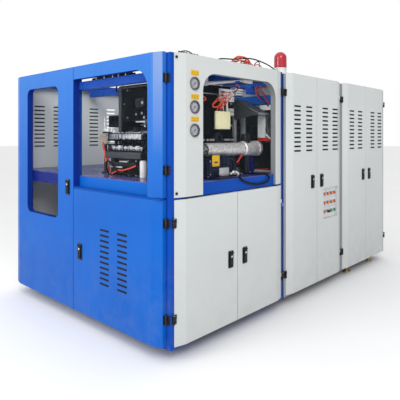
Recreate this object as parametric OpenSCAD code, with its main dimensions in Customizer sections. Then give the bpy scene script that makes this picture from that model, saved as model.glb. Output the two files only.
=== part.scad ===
// Automatic stretch blow moulding machine: a blue-and-white front module that
// holds the blow clamp, an oven cabinet and an electrical cabinet.
// Millimetres, +Z up. Lengths below are measured in a corner frame: x from the
// blue door faces, y from the white door faces, z from the floor.
// place() then moves the origin under the middle of the machine.

/* [Overall] */
// Length along X, from the blue door faces to the far end
body_l = 3572; // [3560:1:3600]
// Depth along Y, from the white front to the back
body_w = 2160; // [2150:1:2180]
// Height of the tops of the doors above the floor
door_top = 2020; // [2018:1:2040]
// Height of the bottoms of the doors above the floor
door_bottom = 100; // [95:1:110]
// Top of the deck beams
deck_z = 1150; // [1145:1:1155]

/* [Sheet metal] */
// Thickness of the folded sheet of the doors
sheet_t = 2.5; // [2:0.5:3]
// Width of the slanted border of a door
bevel_w = 86; // [70:1:90]
// Depth of the slanted border of a door
bevel_d = 24; // [22:1:24]
// Length of a vent slot
slot_l = 114; // [90:1:120]
// Height of a vent slot
slot_h = 16; // [8:1:20]
// Pitch of the vent slots
slot_p = 39.5; // [30:0.5:40]
// Corner radius of the arch and the blue window
arch_r = 130; // [60:1:140]

/* [Frame] */
// Width of a frame tube
tube = 60; // [50:1:60]
// Depth of the blue doors in front of their frame plane
blue_d = 55; // [50:1:55]
// Depth of the white doors in front of their frame plane
white_d = 22; // [20:1:22]

/* [Latches and controls] */
// Height of a flush latch
latch_h = 122; // [100:1:140]
// Width of a flush latch
latch_w = 54; // [44:1:60]
// How far a latch lever stands proud of its door
latch_proud = 12; // [12:0.5:14]
// Hole of a control unit
control_d = 22; // [20:0.5:22]

/* [Blow clamp] */
// Opening stroke of each mould half
clamp_stroke = 80; // [40:1:80]
// Bore of a mould cavity
cavity_d = 90; // [60:1:95]
// Distance between the two cavities
cavity_pitch = 240; // [200:1:240]

/* [Hidden] */
$fn = 48;
g = 0.4;                                   // weld gap between frame tubes
ox = (body_l - latch_proud) / 2;
oy = (body_w - latch_proud) / 2;
fx = 57;                                   // frame plane behind the blue doors
fy = 24;                                   // frame plane behind the white doors
frame_z = 85;                              // underside of the frames
low_top = 1055;                            // top of the lower doors
up_bottom = 1070;                          // bottom of the arch legs
rail_z = 1910;                             // underside of the arch rail
fr_r = 1363;                               // right side of the front frame
mid_l = 1392; mid_r = 2442;                // oven cabinet
rgt_l = 2462; rgt_r = body_l;              // electrical cabinet
blue_r = 63; blue_s = 1085; blue_t = 1091; blue_l = body_w - 63; // blue doors along y
deck_t = 6;
dk = deck_z + deck_t;                      // top of the deck sheet
px = 680; py = 615;                        // middle of the blow clamp
pin_r = 4;

// ---------- helpers ----------
module place() { translate([-ox, -oy, 0]) children(); }
module box(x0, x1, y0, y1, z0, z1) { translate([x0, y0, z0]) cube([x1 - x0, y1 - y0, z1 - z0]); }
module cylx(x0, x1, y, z, r) { translate([x0, y, z]) rotate([0, 90, 0]) cylinder(h = x1 - x0, r = r); }
module cyly(y0, y1, x, z, r) { translate([x, y1, z]) rotate([90, 0, 0]) cylinder(h = y1 - y0, r = r); }
module cylz(z0, z1, x, y, r) { translate([x, y, z0]) cylinder(h = z1 - z0, r = r); }
// rounded rectangle from its lower left corner
module rrect(w, h, r) {
  translate([r, 0]) square([w - 2 * r, h]);
  translate([0, r]) square([w, h - 2 * r]);
  for (i = [r, w - r], j = [r, h - r]) translate([i, j]) circle(r = r);
}
// a flat outline in the plane of a door, from depth y0 to depth y1
module facade(y0, y1) { translate([0, y1, 0]) rotate([90, 0, 0]) linear_extrude(height = y1 - y0) children(); }
// door frames of reference: x to the right as seen from outside, y inwards
module blue_end(yl) { translate([0, yl, 0]) rotate([0, 0, -90]) children(); }
module front_side(xl) { translate([xl, 0, 0]) children(); }

// plan of a folded door: d deep, slanted borders at the left (bl) and right (br)
function pan_out(w, d, bl, br) = concat(
  bl ? (d > bevel_d ? [[0, d], [0, bevel_d], [bevel_w, 0]] : [[0, d], [bevel_w, 0]]) : [[0, d], [0, 0]],
  br ? (d > bevel_d ? [[w - bevel_w, 0], [w, bevel_d], [w, d]] : [[w - bevel_w, 0], [w, d]]) : [[w, 0], [w, d]]);
function pan_in(w, d, bl, br, t) = concat(
  bl ? (d > bevel_d ? [[t, d + 1], [t, bevel_d + t * 0.9], [bevel_w, t]] : [[t * 2.4, d + 1], [bevel_w, t]]) : [[t, d + 1], [t, t]],
  br ? (d > bevel_d ? [[w - bevel_w, t], [w - t, bevel_d + t * 0.9], [w - t, d + 1]] : [[w - bevel_w, t], [w - t * 2.4, d + 1]]) : [[w - t, t], [w - t, d + 1]]);
module pan_solid(w, h, d, bl, br) { linear_extrude(height = h) polygon(pan_out(w, d, bl, br)); }
module pan(w, h, d, bl, br, t = sheet_t) {
  difference() {
    pan_solid(w, h, d, bl, br);
    translate([0, 0, t]) linear_extrude(height = h - 2 * t) polygon(pan_in(w, d, bl, br, t));
  }
}
// column of vent slots with round ends, as a flat outline around x = 0
module slots(n = 11, l = slot_l) {
  for (i = [0:n - 1]) translate([0, i * slot_p]) {
    square([l - slot_h, slot_h], center = true);
    for (s = [-1, 1]) translate([s * (l - slot_h) / 2, 0]) circle(d = slot_h, $fn = 24);
  }
}
module vents(xc, z0, n = 11) { facade(-2, 6) translate([xc, z0]) slots(n); }
// flush latch: the boss and its two ears belong to the door, the lever is its own piece
latch_ax = 7.6;
latch_up = 46;
module latch_boss(x, z) {
  translate([x, 0, z]) {
    facade(-4, 1) translate([-latch_w / 2, -latch_h / 2]) rrect(latch_w, latch_h, 8);
    for (s = [-1, 1]) difference() {
      translate([s * 23 - 2.5, -11, latch_up - 5]) cube([5, 8, 10]);
      translate([s * 23 - 4, -latch_ax, latch_up]) rotate([0, 90, 0]) cylinder(h = 8, r = 1.8);
    }
  }
}
module latch_lever(x, z) {
  translate([x, 0, z]) {
    facade(-latch_proud, -7) translate([-18, -54]) rrect(36, 102, 7);
    translate([-19, -latch_ax, latch_up]) rotate([0, 90, 0]) cylinder(h = 38, r = 3.2);
    translate([-25.5, -latch_ax, latch_up]) rotate([0, 90, 0]) cylinder(h = 51, r = 1.75);
    // finger hook at the lower end
    facade(-7.01, -5) translate([-14, -54]) rrect(28, 12, 4);
  }
}
// hinges: pin axis at (x, y); dx is the side of the frame leaf, +1 or -1
hinge_h = 60;
module knuckle(x, y, z, r) {               // the door's half, with its pin bore
  difference() {
    cylz(z + 0.5, z + hinge_h / 2, x, y, r);
    cylz(z - 1, z + hinge_h, x, y, pin_r + 0.05);
  }
}
module blue_leaf(y, z, s) {                // fixed leaf on a blue post, s = towards the post's middle
  cylz(z - hinge_h / 2, z, 42, y, 8);
  cylz(z - 1, z + hinge_h / 2 - 2, 42, y, pin_r);
  box(42, 54, y - 6, y + 6, z - hinge_h / 2, z);
  if (s > 0) box(52.5, fx, y - 6, y + 26, z - hinge_h / 2, z + hinge_h / 2);
  else box(52.5, fx, y - 26, y + 6, z - hinge_h / 2, z + hinge_h / 2);
}
module white_leaf(x, z, x0, x1) {          // fixed leaf behind a white door, its plate from x0 to x1
  cylz(z - hinge_h / 2, z, x, 12, 7);
  cylz(z - 1, z + hinge_h / 2 - 2, x, 12, pin_r);
  box(x - 5, x + 5, 12, 21, z - hinge_h / 2, z);
  box(x0, x1, 20.5, fy, z - hinge_h / 2, z + hinge_h / 2);
}
// a hinge's door half: knuckle and the strap to the door's edge
module blue_strap(y, z, edge) {
  difference() {
    union() {
      cylz(z + 0.5, z + hinge_h / 2, 42, y, 8);
      box(38, 46, min(y, edge), max(y, edge), z + 0.5, z + hinge_h / 2);
    }
    cylz(z - 1, z + hinge_h, 42, y, pin_r + 0.05);
  }
}
module white_strap(x, z, edge) {
  difference() {
    union() {
      cylz(z + 0.5, z + hinge_h / 2, x, 12, 7);
      box(min(x, edge), max(x, edge), 13, 19, z + 0.5, z + hinge_h / 2);
    }
    cylz(z - 1, z + hinge_h, x, 12, pin_r + 0.05);
  }
}
// hinge heights
zh_tall = [282, 1845];
zh_up = [1250, 1850];
zh_low = [282, 905];
blue_pin_r = blue_r - 13;                  // pins of the blue doors along y
blue_pin_l = blue_l + 13;
wl = 89; wr = 1337; ws = 717; wt = 723;    // lower white doors along x
ol = 1413; or = 2421; os = 1914; ot = 1920; // oven doors
el = 2480; er = body_l - 17; es = 3015; et = 3021; // electrical doors

// a tube ring of a rectangular frame at one height
module ring_x(x0, x1, y0, y1, z0, z1) {
  box(x0 + tube + g, x1 - tube - g, y0, y0 + tube, z0, z1);
  box(x0 + tube + g, x1 - tube - g, y1 - tube, y1, z0, z1);
}
module ring_y(x0, x1, y0, y1, z0, z1) {
  box(x0, x0 + tube, y0 + tube + g, y1 - tube - g, z0, z1);
  box(x1 - tube, x1, y0 + tube + g, y1 - tube - g, z0, z1);
}
module ring_y_split(x0, x1, y0, y1, z0, z1, ym) {
  for (x = [x0, x1 - tube]) {
    box(x, x + tube, y0 + tube + g, ym - tube / 2 - g, z0, z1);
    box(x, x + tube, ym + tube / 2 + g, y1 - tube - g, z0, z1);
  }
}
module post(x, y, z0, z1) { box(x, x + tube, y, y + tube, z0, z1); }
yb = body_w - fy;                          // back of the frames
ym = body_w / 2 + 98;                      // middle posts, behind the free edge of the tall door
foot_x = [330, 1110, 1650, 2180, 2740, 3311];
foot_y = [[250, body_w - 250], [250, body_w - 250], [250, body_w - 250], [250, body_w - 250],
          [100, body_w - 100], [100, body_w - 100]];

// ---------- frames ----------
module front_frame() { color("royalblue") place() {
  for (x = [fx, fr_r - tube], y = [fy, ym - tube / 2, yb - tube]) difference() {
    post(x, y, frame_z, 2014);
    // threaded holes of the arch panel's screws
    if (y == fy) for (z = [1097, 1988]) cyly(fy - 1, fy + 22, 104, z, 4);
  }
  ring_x(fx, fr_r, fy, yb, 1950, 2010);
  ring_x(fx, fr_r, fy, yb, deck_z - 90, deck_z);
  ring_y_split(fx, fr_r, fy, yb, 1950, 2010, ym);
  ring_y_split(fx, fr_r, fy, yb, deck_z - 90, deck_z, ym);
  ring_y_split(fx, fr_r, fy, yb, frame_z, frame_z + tube, ym);
  for (y = [fy, yb - tube]) for (s = [[fx + tube + g, 300 - g], [360 + g, 690 - g], [750 + g, 1080 - g], [1140 + g, fr_r - tube - g]])
    box(s[0], s[1], y, y + tube, frame_z, frame_z + tube);
  // posts at the lower door seams
  for (y = [fy, yb - tube]) box(690, 750, y, y + tube, frame_z, deck_z - 90 - g);
  // base cross beams that carry the feet
  for (x = [330, 1110]) box(x - 30, x + 30, fy, yb, frame_z, frame_z + tube);
  // deck cross beams
  for (x = [370, 930]) box(x, x + 60, fy + tube + g, yb - tube - g, deck_z - 90, deck_z);
  // second beam over the blue window, and the beams at the oven side
  for (s = [[fy + tube + g, ym - tube / 2 - g], [ym + tube / 2 + g, yb - tube - g]]) {
    if (s[0] < ym) box(fx, fx + tube, s[0], s[1], 1845, 1905);
    box(fr_r - tube, fr_r, s[0], s[1], 1748, 1822);
    box(fr_r - 40, fr_r, s[0], s[1], 1908, 1932);
  }
  // top cross beam
  box(800, 860, fy + tube + g, yb - tube - g, 1886, 1949.6);
} }
module cabinet_frame(x0, x1, xs, fi) {
  for (x = [x0, x1 - tube], y = [fy, yb - tube]) post(x, y, frame_z, 2006);
  ring_x(x0, x1, fy, yb, 1946, 2006);
  ring_y(x0, x1, fy, yb, 1946, 2006);
  ring_y(x0, x1, fy, yb, frame_z, frame_z + tube);
  for (y = [fy, yb - tube]) for (s = [[x0 + tube + g, foot_x[fi] - 30 - g], [foot_x[fi] + 30 + g, foot_x[fi + 1] - 30 - g], [foot_x[fi + 1] + 30 + g, x1 - tube - g]])
    box(s[0], s[1], y, y + tube, frame_z, frame_z + tube);
  for (i = [fi, fi + 1]) box(foot_x[i] - 30, foot_x[i] + 30, fy, yb, frame_z, frame_z + tube);
  // centre post behind the door seam
  box(xs - 25, xs + 25, fy, fy + 40, frame_z + tube + g, 1946 - g);
}
module oven_cabinet_frame() { color("gainsboro") place() cabinet_frame(mid_l, mid_r, 1917, 2); }
module electrical_cabinet_frame() { color("gainsboro") place() cabinet_frame(rgt_l, rgt_r, 3018, 4); }
module deck_plate() { color("royalblue") place() difference() {
  box(fx, fr_r, fy, yb, deck_z, dk);
  // posts pass through the corners and sides
  for (x = [fx - 1, fr_r - tube - g], y = [fy - 1, ym - tube / 2 - g, yb - tube - g]) box(x, x + tube + 1 + g, y, y + tube + 1 + (y == ym - tube / 2 - g ? g : 0) + g, deck_z - 1, dk + 1);
  cylz(deck_z - 1, dk + 1, 455, 235, 51);
} }
module levelling_feet() { color("goldenrod") place() for (i = [0:5]) for (y = foot_y[i]) translate([foot_x[i], y, 0]) {
  cylinder(h = 14, r = 42);
  cylinder(h = frame_z, r = 10);
  translate([0, 0, 62]) cylinder(h = 12, r = 18, $fn = 6);
  translate([0, 0, 13]) cylinder(h = 14, r1 = 24, r2 = 16, $fn = 32);
} }
module hinge_leaves() { color("black") place() {
  for (z = zh_tall) blue_leaf(blue_pin_l, z, 1);
  for (z = concat(zh_up, zh_low)) blue_leaf(blue_pin_r, z, -1);
  for (z = zh_low) { white_leaf(wl - 10, z, wl - 17, wl - 5); white_leaf(wr + 10, z, wr + 5, wr + 17); }
  for (z = zh_tall) {
    // one plate bridges the posts where two modules meet
    white_leaf(ol - 10, z, wr + 5, ol - 5); white_leaf(or + 10, z, or + 5, el - 5);
    white_leaf(el - 10, z, or + 5, el - 5); white_leaf(er + 10, z, er + 5, er + 17);
  }
} }

// ---------- fixed panels ----------
ax0 = 341 - wl; ax1 = 1229 - wl;           // arch opening in panel coordinates
gauge_x = 256; gauge_z = [1825, 1667, 1510];
module arch_panel() { color("gainsboro") place() difference() {
  union() {
    difference() {
      front_side(wl) translate([0, 0, up_bottom]) pan(wr - wl, door_top - up_bottom, fy, true, true);
      front_side(wl) facade(-1, 60) arch_window(0);
    }
    intersection() {
      front_side(wl) facade(0, 50) difference() { arch_window(sheet_t); arch_window(0); }
      // the turned-in edge is cut back where it meets the deck beam and the deck sheet
      union() { box(0, 2000, -1, fy - 0.5, up_bottom, door_top); box(0, 2000, -1, 80, dk + 0.5, door_top); }
    }
  }
  for (z = [1097, 1988]) cyly(-1, 40, 104, z, 4.3);
  for (z = gauge_z) cyly(-1, 10, gauge_x, z, 38.5);
} }
module arch_window(e) {
  translate([ax0 - e, 900]) square([ax1 - ax0 + 2 * e, rail_z - 900 - arch_r]);
  translate([ax0 - e + arch_r + e, 900]) square([ax1 - ax0 - 2 * arch_r, rail_z - 900 + e]);
  for (x = [ax0 + arch_r, ax1 - arch_r]) translate([x, rail_z - arch_r]) circle(r = arch_r + e, $fn = 72);
}
module arch_screws() { color("black") place() for (z = [1097, 1988], x = [104]) {
  cyly(11, 17, x, z, 9);
  cyly(16, 44, x, z, 3.95);
} }
module gauge_cases() { color("silver") place() for (z = gauge_z) {
  difference() {
    union() { cyly(-10, 0, gauge_x, z, 44); cyly(-0.5, 40, gauge_x, z, 38); }
    cyly(-11, -7, gauge_x, z, 40.5);
    cyly(-8, -1, gauge_x, z, 36);
    cyly(-9, 34, gauge_x, z, 34);
  }
  difference() { cyly(-3, 34.5, gauge_x, z, 35); cyly(-4, 1, gauge_x, z, 34); cyly(2.5, 35, gauge_x, z, 33); }
  cyly(-4.4, 1.1, gauge_x, z, 1.6);
  cyly(39, 62, gauge_x, z, 9);
  cyly(54, 60, gauge_x, z, 14);
} }
module gauge_lenses() { color("white") place() for (z = gauge_z) cyly(-9, -7, gauge_x, z, 40); }
module needle(z, a) { place() translate([gauge_x, 0, z]) rotate([0, a, 0]) difference() {
  union() {
    cyly(-6, -3, 0, 0, 5);
    translate([-1.2, -4.8, 0]) cube([2.4, 1, 28]);
    translate([-2.5, -4.8, -12]) cube([5, 1, 12]);
  }
  cyly(-7, -2, 0, 0, 1.7);
} }
module gauge_needle_1() { color("black") needle(gauge_z[0], -135); }
module gauge_needle_2() { color("black") needle(gauge_z[1], -135); }
module gauge_needle_3() { color("black") needle(gauge_z[2], -135); }

module panel_sheet(x0, x1, z0, z1, cols, vz) {   // sheet of the back side with a rolled edge
  difference() {
    box(x0, x1, yb, body_w, z0, z1);
    box(x0 + 3, x1 - 3, yb - 1, body_w - 3, z0 + 3, z1 - 3);
    for (c = cols) facade(body_w - 8, body_w + 4) translate([c, vz]) slots();
  }
}
module back_panels() { color("gainsboro") place() {
  panel_sheet(60, 707, up_bottom, door_top, [273, 480], 1370);
  panel_sheet(713, 1360, up_bottom, door_top, [906, 1132], 1370);
  panel_sheet(60, 707, door_bottom, low_top, [], 0);
  panel_sheet(713, 1360, door_bottom, low_top, [], 0);
  panel_sheet(1396, 1914, door_bottom, door_top, [1655], 1340);
  panel_sheet(1920, 2438, door_bottom, door_top, [2180], 1340);
  panel_sheet(2466, 3015, door_bottom, door_top, [2740], 1340);
  panel_sheet(3021, 3568, door_bottom, door_top, [3295], 1340);
} }
module cabinet_panels() { color("gainsboro") place() {
  // roofs
  box(mid_l, mid_r, fy, yb, 2006, 2012);
  box(rgt_l, rgt_r, fy, yb, 2006, 2012);
  // side wall of the oven cabinet, with the opening for the preforms
  difference() {
    box(mid_l - 3, mid_l, fy, yb, door_bottom, 2006 - g);
    box(mid_l - 5, mid_l + 5, 90, 920, 1170, 1700);
  }
  box(mid_r, mid_r + 3, fy, yb, door_bottom, 2006 - g);
  box(rgt_l - 3, rgt_l, fy, yb, door_bottom, 2006 - g);
  // far end wall, let in between its posts, with two vent fields
  difference() {
    box(rgt_r - 6, rgt_r, fy + tube + g, yb - tube - g, frame_z + tube + g, 1946 - g);
    for (c = [560, 1600]) translate([rgt_r - 10, c, 1370]) rotate([90, 0, 90]) linear_extrude(height = 20) slots(11, 2 * slot_l);
  }
} }

// ---------- doors ----------
win_l = 235; win_w = 540; win_z0 = 790; win_z1 = 1890;
module tall_door() { color("dodgerblue") place() {
  blue_end(blue_l) {
    difference() {
      translate([0, 0, door_bottom]) pan(blue_l - blue_t, door_top - door_bottom, blue_d, true, false);
      facade(-1, 60) translate([win_l, win_z0]) rrect(win_w, win_z1 - win_z0, 60);
    }
    facade(0, 50) difference() {
      translate([win_l - sheet_t, win_z0 - sheet_t]) rrect(win_w + 2 * sheet_t, win_z1 - win_z0 + 2 * sheet_t, 60 + sheet_t);
      translate([win_l, win_z0]) rrect(win_w, win_z1 - win_z0, 60);
    }
    latch_boss(blue_l - 1168, 1062);
  }
  for (z = zh_tall) blue_strap(blue_pin_l, z, blue_l - 1);
} }
uw = blue_s - blue_r;                      // width of the right blue doors
ujx = blue_s - 185;                        // right jamb of the blue window
module blue_window(e) {
  translate([-50, 900]) square([ujx + 50 - arch_r, 1920 - 900 + e]);
  translate([-50, 900]) square([ujx + 50 + e, 1920 - 900 - arch_r]);
  translate([ujx - arch_r, 1920 - arch_r]) circle(r = arch_r + e, $fn = 72);
}
module upper_blue_door() { color("dodgerblue") place() {
  blue_end(blue_s) {
    difference() {
      translate([0, 0, up_bottom]) pan(uw, door_top - up_bottom, blue_d, false, true);
      facade(-1, 60) blue_window(0);
    }
    intersection() {
      facade(0, 50) difference() { blue_window(sheet_t); blue_window(0); }
      box(0, uw, -1, 60, up_bottom, door_top);
    }
  }
  for (z = zh_up) blue_strap(blue_pin_r, z, blue_r + 1);
} }
module lower_blue_door() { color("dodgerblue") place() {
  blue_end(blue_s) {
    difference() {
      translate([0, 0, door_bottom]) pan(uw, low_top - door_bottom, blue_d, false, true);
      vents(blue_s - 669, 384);
      vents(blue_s - 458, 384);
    }
    latch_boss(blue_s - 990, 572);
  }
  for (z = zh_low) blue_strap(blue_pin_r, z, blue_r + 1);
} }
module white_door(x0, x1, z0, z1, bl, br, cols, vz, lx, lz, hx, edge, zh) {
  front_side(x0) {
    difference() {
      translate([0, 0, z0]) pan(x1 - x0, z1 - z0, white_d, bl, br);
      for (c = cols) vents(c - x0, vz);
    }
    latch_boss(lx - x0, lz);
  }
  for (z = zh) white_strap(hx, z, edge);
}
module lower_white_door_left() { color("gainsboro") place()
  white_door(wl, ws, door_bottom, low_top, true, false, [], 0, 640, 568, wl - 10, wl + 14, zh_low); }
module lower_white_door_right() { color("gainsboro") place()
  white_door(wt, wr, door_bottom, low_top, false, true, [], 0, 808, 568, wr + 10, wr - 14, zh_low); }
module oven_door_left() { color("gainsboro") place()
  white_door(ol, os, door_bottom, door_top, true, false, [1573, 1776], 1340, 1834, 1050, ol - 10, ol + 14, zh_tall); }
cx0 = 2045; cz0 = 673; cw = 297;           // recess of the control plate
module oven_door_right() { color("gainsboro") place() {
  difference() {
    white_door(ot, or, door_bottom, door_top, false, true, [2080, 2282], 1340, 2004, 1050, or + 10, or - 14, zh_tall);
    box(cx0, cx0 + cw, -5, 10, cz0, cz0 + cw);
  }
  difference() {
    box(cx0 - sheet_t, cx0 + cw + sheet_t, 0, 36, cz0 - sheet_t, cz0 + cw + sheet_t);
    box(cx0, cx0 + cw, -5, 40, cz0, cz0 + cw);
  }
} }
module electrical_door_left() { color("gainsboro") place()
  white_door(el, es, door_bottom, door_top, true, false, [2664, 2868], 1340, 2938, 1050, el - 10, el + 14, zh_tall); }
module electrical_door_right() { color("gainsboro") place()
  white_door(et, er, door_bottom, door_top, false, true, [3200, 3400], 1340, 3098, 1050, er + 10, er - 14, zh_tall); }

module tall_door_pane() { color("lightcyan") place() blue_end(blue_l) facade(50, blue_d) translate([win_l - 14, win_z0 - 14]) rrect(win_w + 28, win_z1 - win_z0 + 28, 60); }
module upper_door_pane() { color("lightcyan") place() blue_end(blue_s) facade(50, blue_d) translate([4, dk + 2]) square([ujx + 10, 1934 - dk - 2]); }
module arch_pane() { color("lightcyan") place() box(330, 1240, 50, 55, dk + 22, 1922); }

// ---------- latches ----------
module lat(c) { color("black") place() children(); }
module latch_tall() { lat() blue_end(blue_l) latch_lever(blue_l - 1168, 1062); }
module latch_lower_blue() { lat() blue_end(blue_s) latch_lever(blue_s - 990, 572); }
module latch_white_left() { lat() latch_lever(640, 568); }
module latch_white_right() { lat() latch_lever(808, 568); }
module latch_oven_left() { lat() latch_lever(1834, 1050); }
module latch_oven_right() { lat() latch_lever(2004, 1050); }
module latch_electrical_left() { lat() latch_lever(2938, 1050); }
module latch_electrical_right() { lat() latch_lever(3098, 1050); }

// ---------- control plate ----------
ccol = [for (i = [0:3]) cx0 + 46 + i * 68.3];
crow = [for (i = [0:2]) cz0 + cw - 62 - i * 86];
function lamp_places() = concat([for (j = [0, 1], i = [0:3]) [ccol[i], crow[j]]], [[ccol[0], crow[2]]]);
module control_plate() { color("silver") place() difference() {
  box(cx0, cx0 + cw, 18, 21, cz0, cz0 + cw);
  for (z = crow, x = ccol) cyly(10, 30, x, z, control_d / 2 + 1.3);
} }
module control_holders() { color("dimgray") place() for (z = crow, x = ccol) difference() {
  union() { cyly(12, 18, x, z, control_d / 2 + 4); cyly(17, 52, x, z, control_d / 2 + 1.2); box(x - 15, x + 15, 52, 74, z - 20, z + 20); }
  cyly(10, 46, x, z, control_d / 2);
} }
module pilot_lamps() { color("orange") place() for (p = lamp_places()) {
  cyly(2, 46, p[0], p[1], control_d / 2 - 0.1);
  intersection() {
    translate([p[0], 10, p[1]]) sphere(r = 14);
    cyly(-5, 2.1, p[0], p[1], control_d / 2 - 0.1);
  }
} }
module push_cap(x, z) { cyly(3, 41, x, z, control_d / 2 - 0.3); }
module green_button_1() { color("green") place() push_cap(ccol[2], crow[2]); }
module green_button_2() { color("green") place() push_cap(ccol[3], crow[2]); }
module selector_knob() { color("black") place() {
  cyly(2, 45, ccol[1], crow[2], control_d / 2 - 0.3);
  box(ccol[1] - 3.5, ccol[1] + 3.5, -8, 2.1, crow[2] - 10, crow[2] + 10);
} }

// ---------- beacon ----------
bx = 1450; by = 100; bz = 2012;
module beacon_base() { color("white") place() translate([bx, by, bz]) difference() {
  union() { cylinder(h = 12, r = 64); cylinder(h = 52, r = 52); translate([0, 0, 44]) cylinder(h = 10, r = 56); cylinder(h = 66, r = 8); cylinder(h = 78, r = 4); }
  translate([-70, 0, 26]) rotate([0, 90, 0]) cylinder(h = 30, r = 8);
} }
module beacon_dome() { color("red") place() translate([bx, by, bz + 54]) difference() {
  union() { cylinder(h = 88, r = 55); translate([0, 0, 88]) intersection() { scale([1, 1, 1]) sphere(r = 55); translate([0, 0, 0]) cylinder(h = 48, r = 60); } }
  translate([0, 0, -1]) cylinder(h = 89, r = 51.5);
  translate([0, 0, 87]) sphere(r = 51.5);
} }
module beacon_reflector() { color("silver") place() translate([bx, by, bz + 66]) difference() {
  union() {
    translate([0, 0, 0.5]) cylinder(h = 8, r = 20);
    difference() { translate([0, 0, 4]) cylinder(h = 46, r = 40); translate([0, 0, 0]) cylinder(h = 60, r = 36); translate([-60, -12, -5]) cube([120, 80, 80]); }
    translate([-20, -38, 0.5]) cube([40, 30, 5]);
  }
  translate([0, 0, -5]) cylinder(h = 20, r = 4.1);
} }

// ---------- blow clamp ----------
pf = 300; pr = 930; pt = 40;               // outer faces of the two fixed plates along y
p0 = 330; p1 = 1030;                       // sides of the clamp along x
tie_x = [402, 958]; tie_z = [1240, 1500]; tie_r = 22;
rod_x = [520, 840]; rod_z = 1450; rod_r = 20; // ram rods of the two platens
module press_frame() { color("black") place() {
  difference() {
    union() {
      box(p0, p1, pf, pf + pt, dk, 1880);
      box(p0, p1, pr - pt, pr, dk, 1880);
      box(p0, p1, pf + pt, pr - pt, dk, dk + 20);
    }
    for (x = rod_x) cyly(pf - 10, pr + 10, x, rod_z, rod_r + 0.08);
  }
} }
module stretch_housing() { color("black") place() {
  difference() {
    box(p0, p1, pf + pt, pr - pt, 1590, 1880);
    box(p0 + 6, p1 - 6, pf + pt + 6, pr - pt - 6, 1580, 1874);
    box(p0 + 120, p1 - 120, py - 110, py + 110, 1870, 1890);
  }
  // rod guide block across the housing
  difference() {
    box(p0 + 6, p1 - 6, py - 40, py + 40, 1600, 1616);
    for (s = [-1, 1]) cylz(1590, 1630, px + s * cavity_pitch / 2, py, 9);
  }
} }
module tie_bars() { color("silver") place() for (x = tie_x, z = tie_z) cyly(pf + pt, pr - pt, x, z, tie_r); }
module platen(y0, y1) { difference() {
  box(p0 + 30, p1 - 30, y0, y1, 1196, 1544);
  for (x = tie_x, z = tie_z) cyly(y0 - 1, y1 + 1, x, z, tie_r + 0.08);
} }
module front_platen() { color("dimgray") place() { platen(py - 170, py - 130);
  for (x = rod_x) cyly(pf, py - 169, x, rod_z, rod_r); } }
module rear_platen() { color("dimgray") place() { platen(py + 130, py + 170);
  for (x = rod_x) cyly(py + 169, pr, x, rod_z, rod_r); } }
module cavity() { for (s = [-1, 1]) translate([px + s * cavity_pitch / 2, py, 0]) {
  translate([0, 0, 1240]) cylinder(h = 200, r = cavity_d / 2);
  translate([0, 0, 1440]) cylinder(h = 40, r1 = cavity_d / 2, r2 = 15);
  translate([0, 0, 1479]) cylinder(h = 50, r = 15);
} }
module mould(y0, y1) { difference() { box(450, 910, y0, y1, 1210, 1508); cavity(); } }
module front_mould() { color("silver") place() mould(py - 130, py - 0.15); }
module rear_mould() { color("silver") place() mould(py + 0.15, py + 130); }
module stretch_carriage() { color("silver") place() {
  box(px - 200, px + 200, py - 60, py + 60, 1842, 1868);
  for (s = [-1, 1]) cylz(1515, 1843, px + s * cavity_pitch / 2, py, 8);
} }
module transfer_beam() { color("silver") place() {
  box(420, 1290, 700, 726, 1550, 1590 - 2);
  for (i = [0:3]) box(px - 120 + i * 160 - 12, px - 120 + i * 160 + 12, 655, 701, 1552, 1562);
} }

// ---------- things on the deck and the clamp ----------
module gearmotor() { color("midnightblue") place() {
  box(560, 700, 150, 280, dk + 10, 1300);
  box(545, 880, 135, 290, dk, dk + 10);
  cylx(700, 868, 215, 1236, 62);
  for (i = [0:5]) cylx(716 + i * 20, 724 + i * 20, 215, 1236, 68);
  cylx(850, 880, 215, 1236, 70);
  box(730, 810, 150, 200, 1232, 1310);
  cylx(540, 561, 215, 1236, 34);
} }
duct_r = 50; dy = 235; dz = 1365;
module air_duct() { color("silver") place() {
  cylx(545, 1076, dy, dz, duct_r);
  cylx(1124, fr_r - tube - 30, dy, dz, duct_r);
  cylx(fr_r - tube - 31, fr_r - tube - 22, dy, dz, duct_r + 14);
  // elbow down to the deck at the left end
  translate([545, dy, dz - 90]) rotate([90, 0, 0]) rotate([0, 0, 90]) rotate_extrude(angle = 90) translate([90, 0]) circle(r = duct_r);
  cylz(dk - 3, dz - 90, 455, dy, duct_r);
  // stand with its clamp ring
  difference() { union() { cylx(1075, 1125, dy, dz, duct_r + 12); box(1080, 1120, dy - 26, dy + 26, dk, dz); }
    cylx(1000, 1200, dy, dz, duct_r - 6); }
  box(1060, 1140, dy - 50, dy + 50, dk, dk + 10);
} }
module air_panel() { color("gainsboro") place() {
  box(848, 1024, 288, pf, 1764, 1852);
  // flat junction box on its mount
  box(756, 936, 240, 256, 1532, 1670);
  box(790, 902, 255, pf, 1556, 1646);
  for (x = [800, 850, 900]) cylz(1645, 1764.5, x + 60, 276, 8);
  for (x = [870, 930, 990]) { cyly(262, 288.5, x, 1830, 9); cyly(270, 288.5, x, 1800, 7); }
  box(940, 1010, 270, pf, 1640, 1700);
} }
module outlet_hood() { color("dimgray") place() {
  // sheet hood over the oven outlet, sloping down to the front, on two posts
  translate([1139, 0, 0]) rotate([90, 0, 90]) linear_extrude(height = 159) polygon([[114, 1662], [370, 1786], [370, 1790], [114, 1666]]);
  translate([1139, 0, 0]) rotate([90, 0, 90]) linear_extrude(height = 3) polygon([[114, 1650], [370, 1612], [370, 1788], [114, 1664]]);
  box(1139, 1298, 112, 115, 1650, 1666);
  for (x = [1139, 1265]) { box(x, x + 30, 367, 397, dk, 1786); box(x - 6, x + 36 - (x > 1200 ? 3 : 0), 361, 403, dk, dk + 8); }
} }
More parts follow.
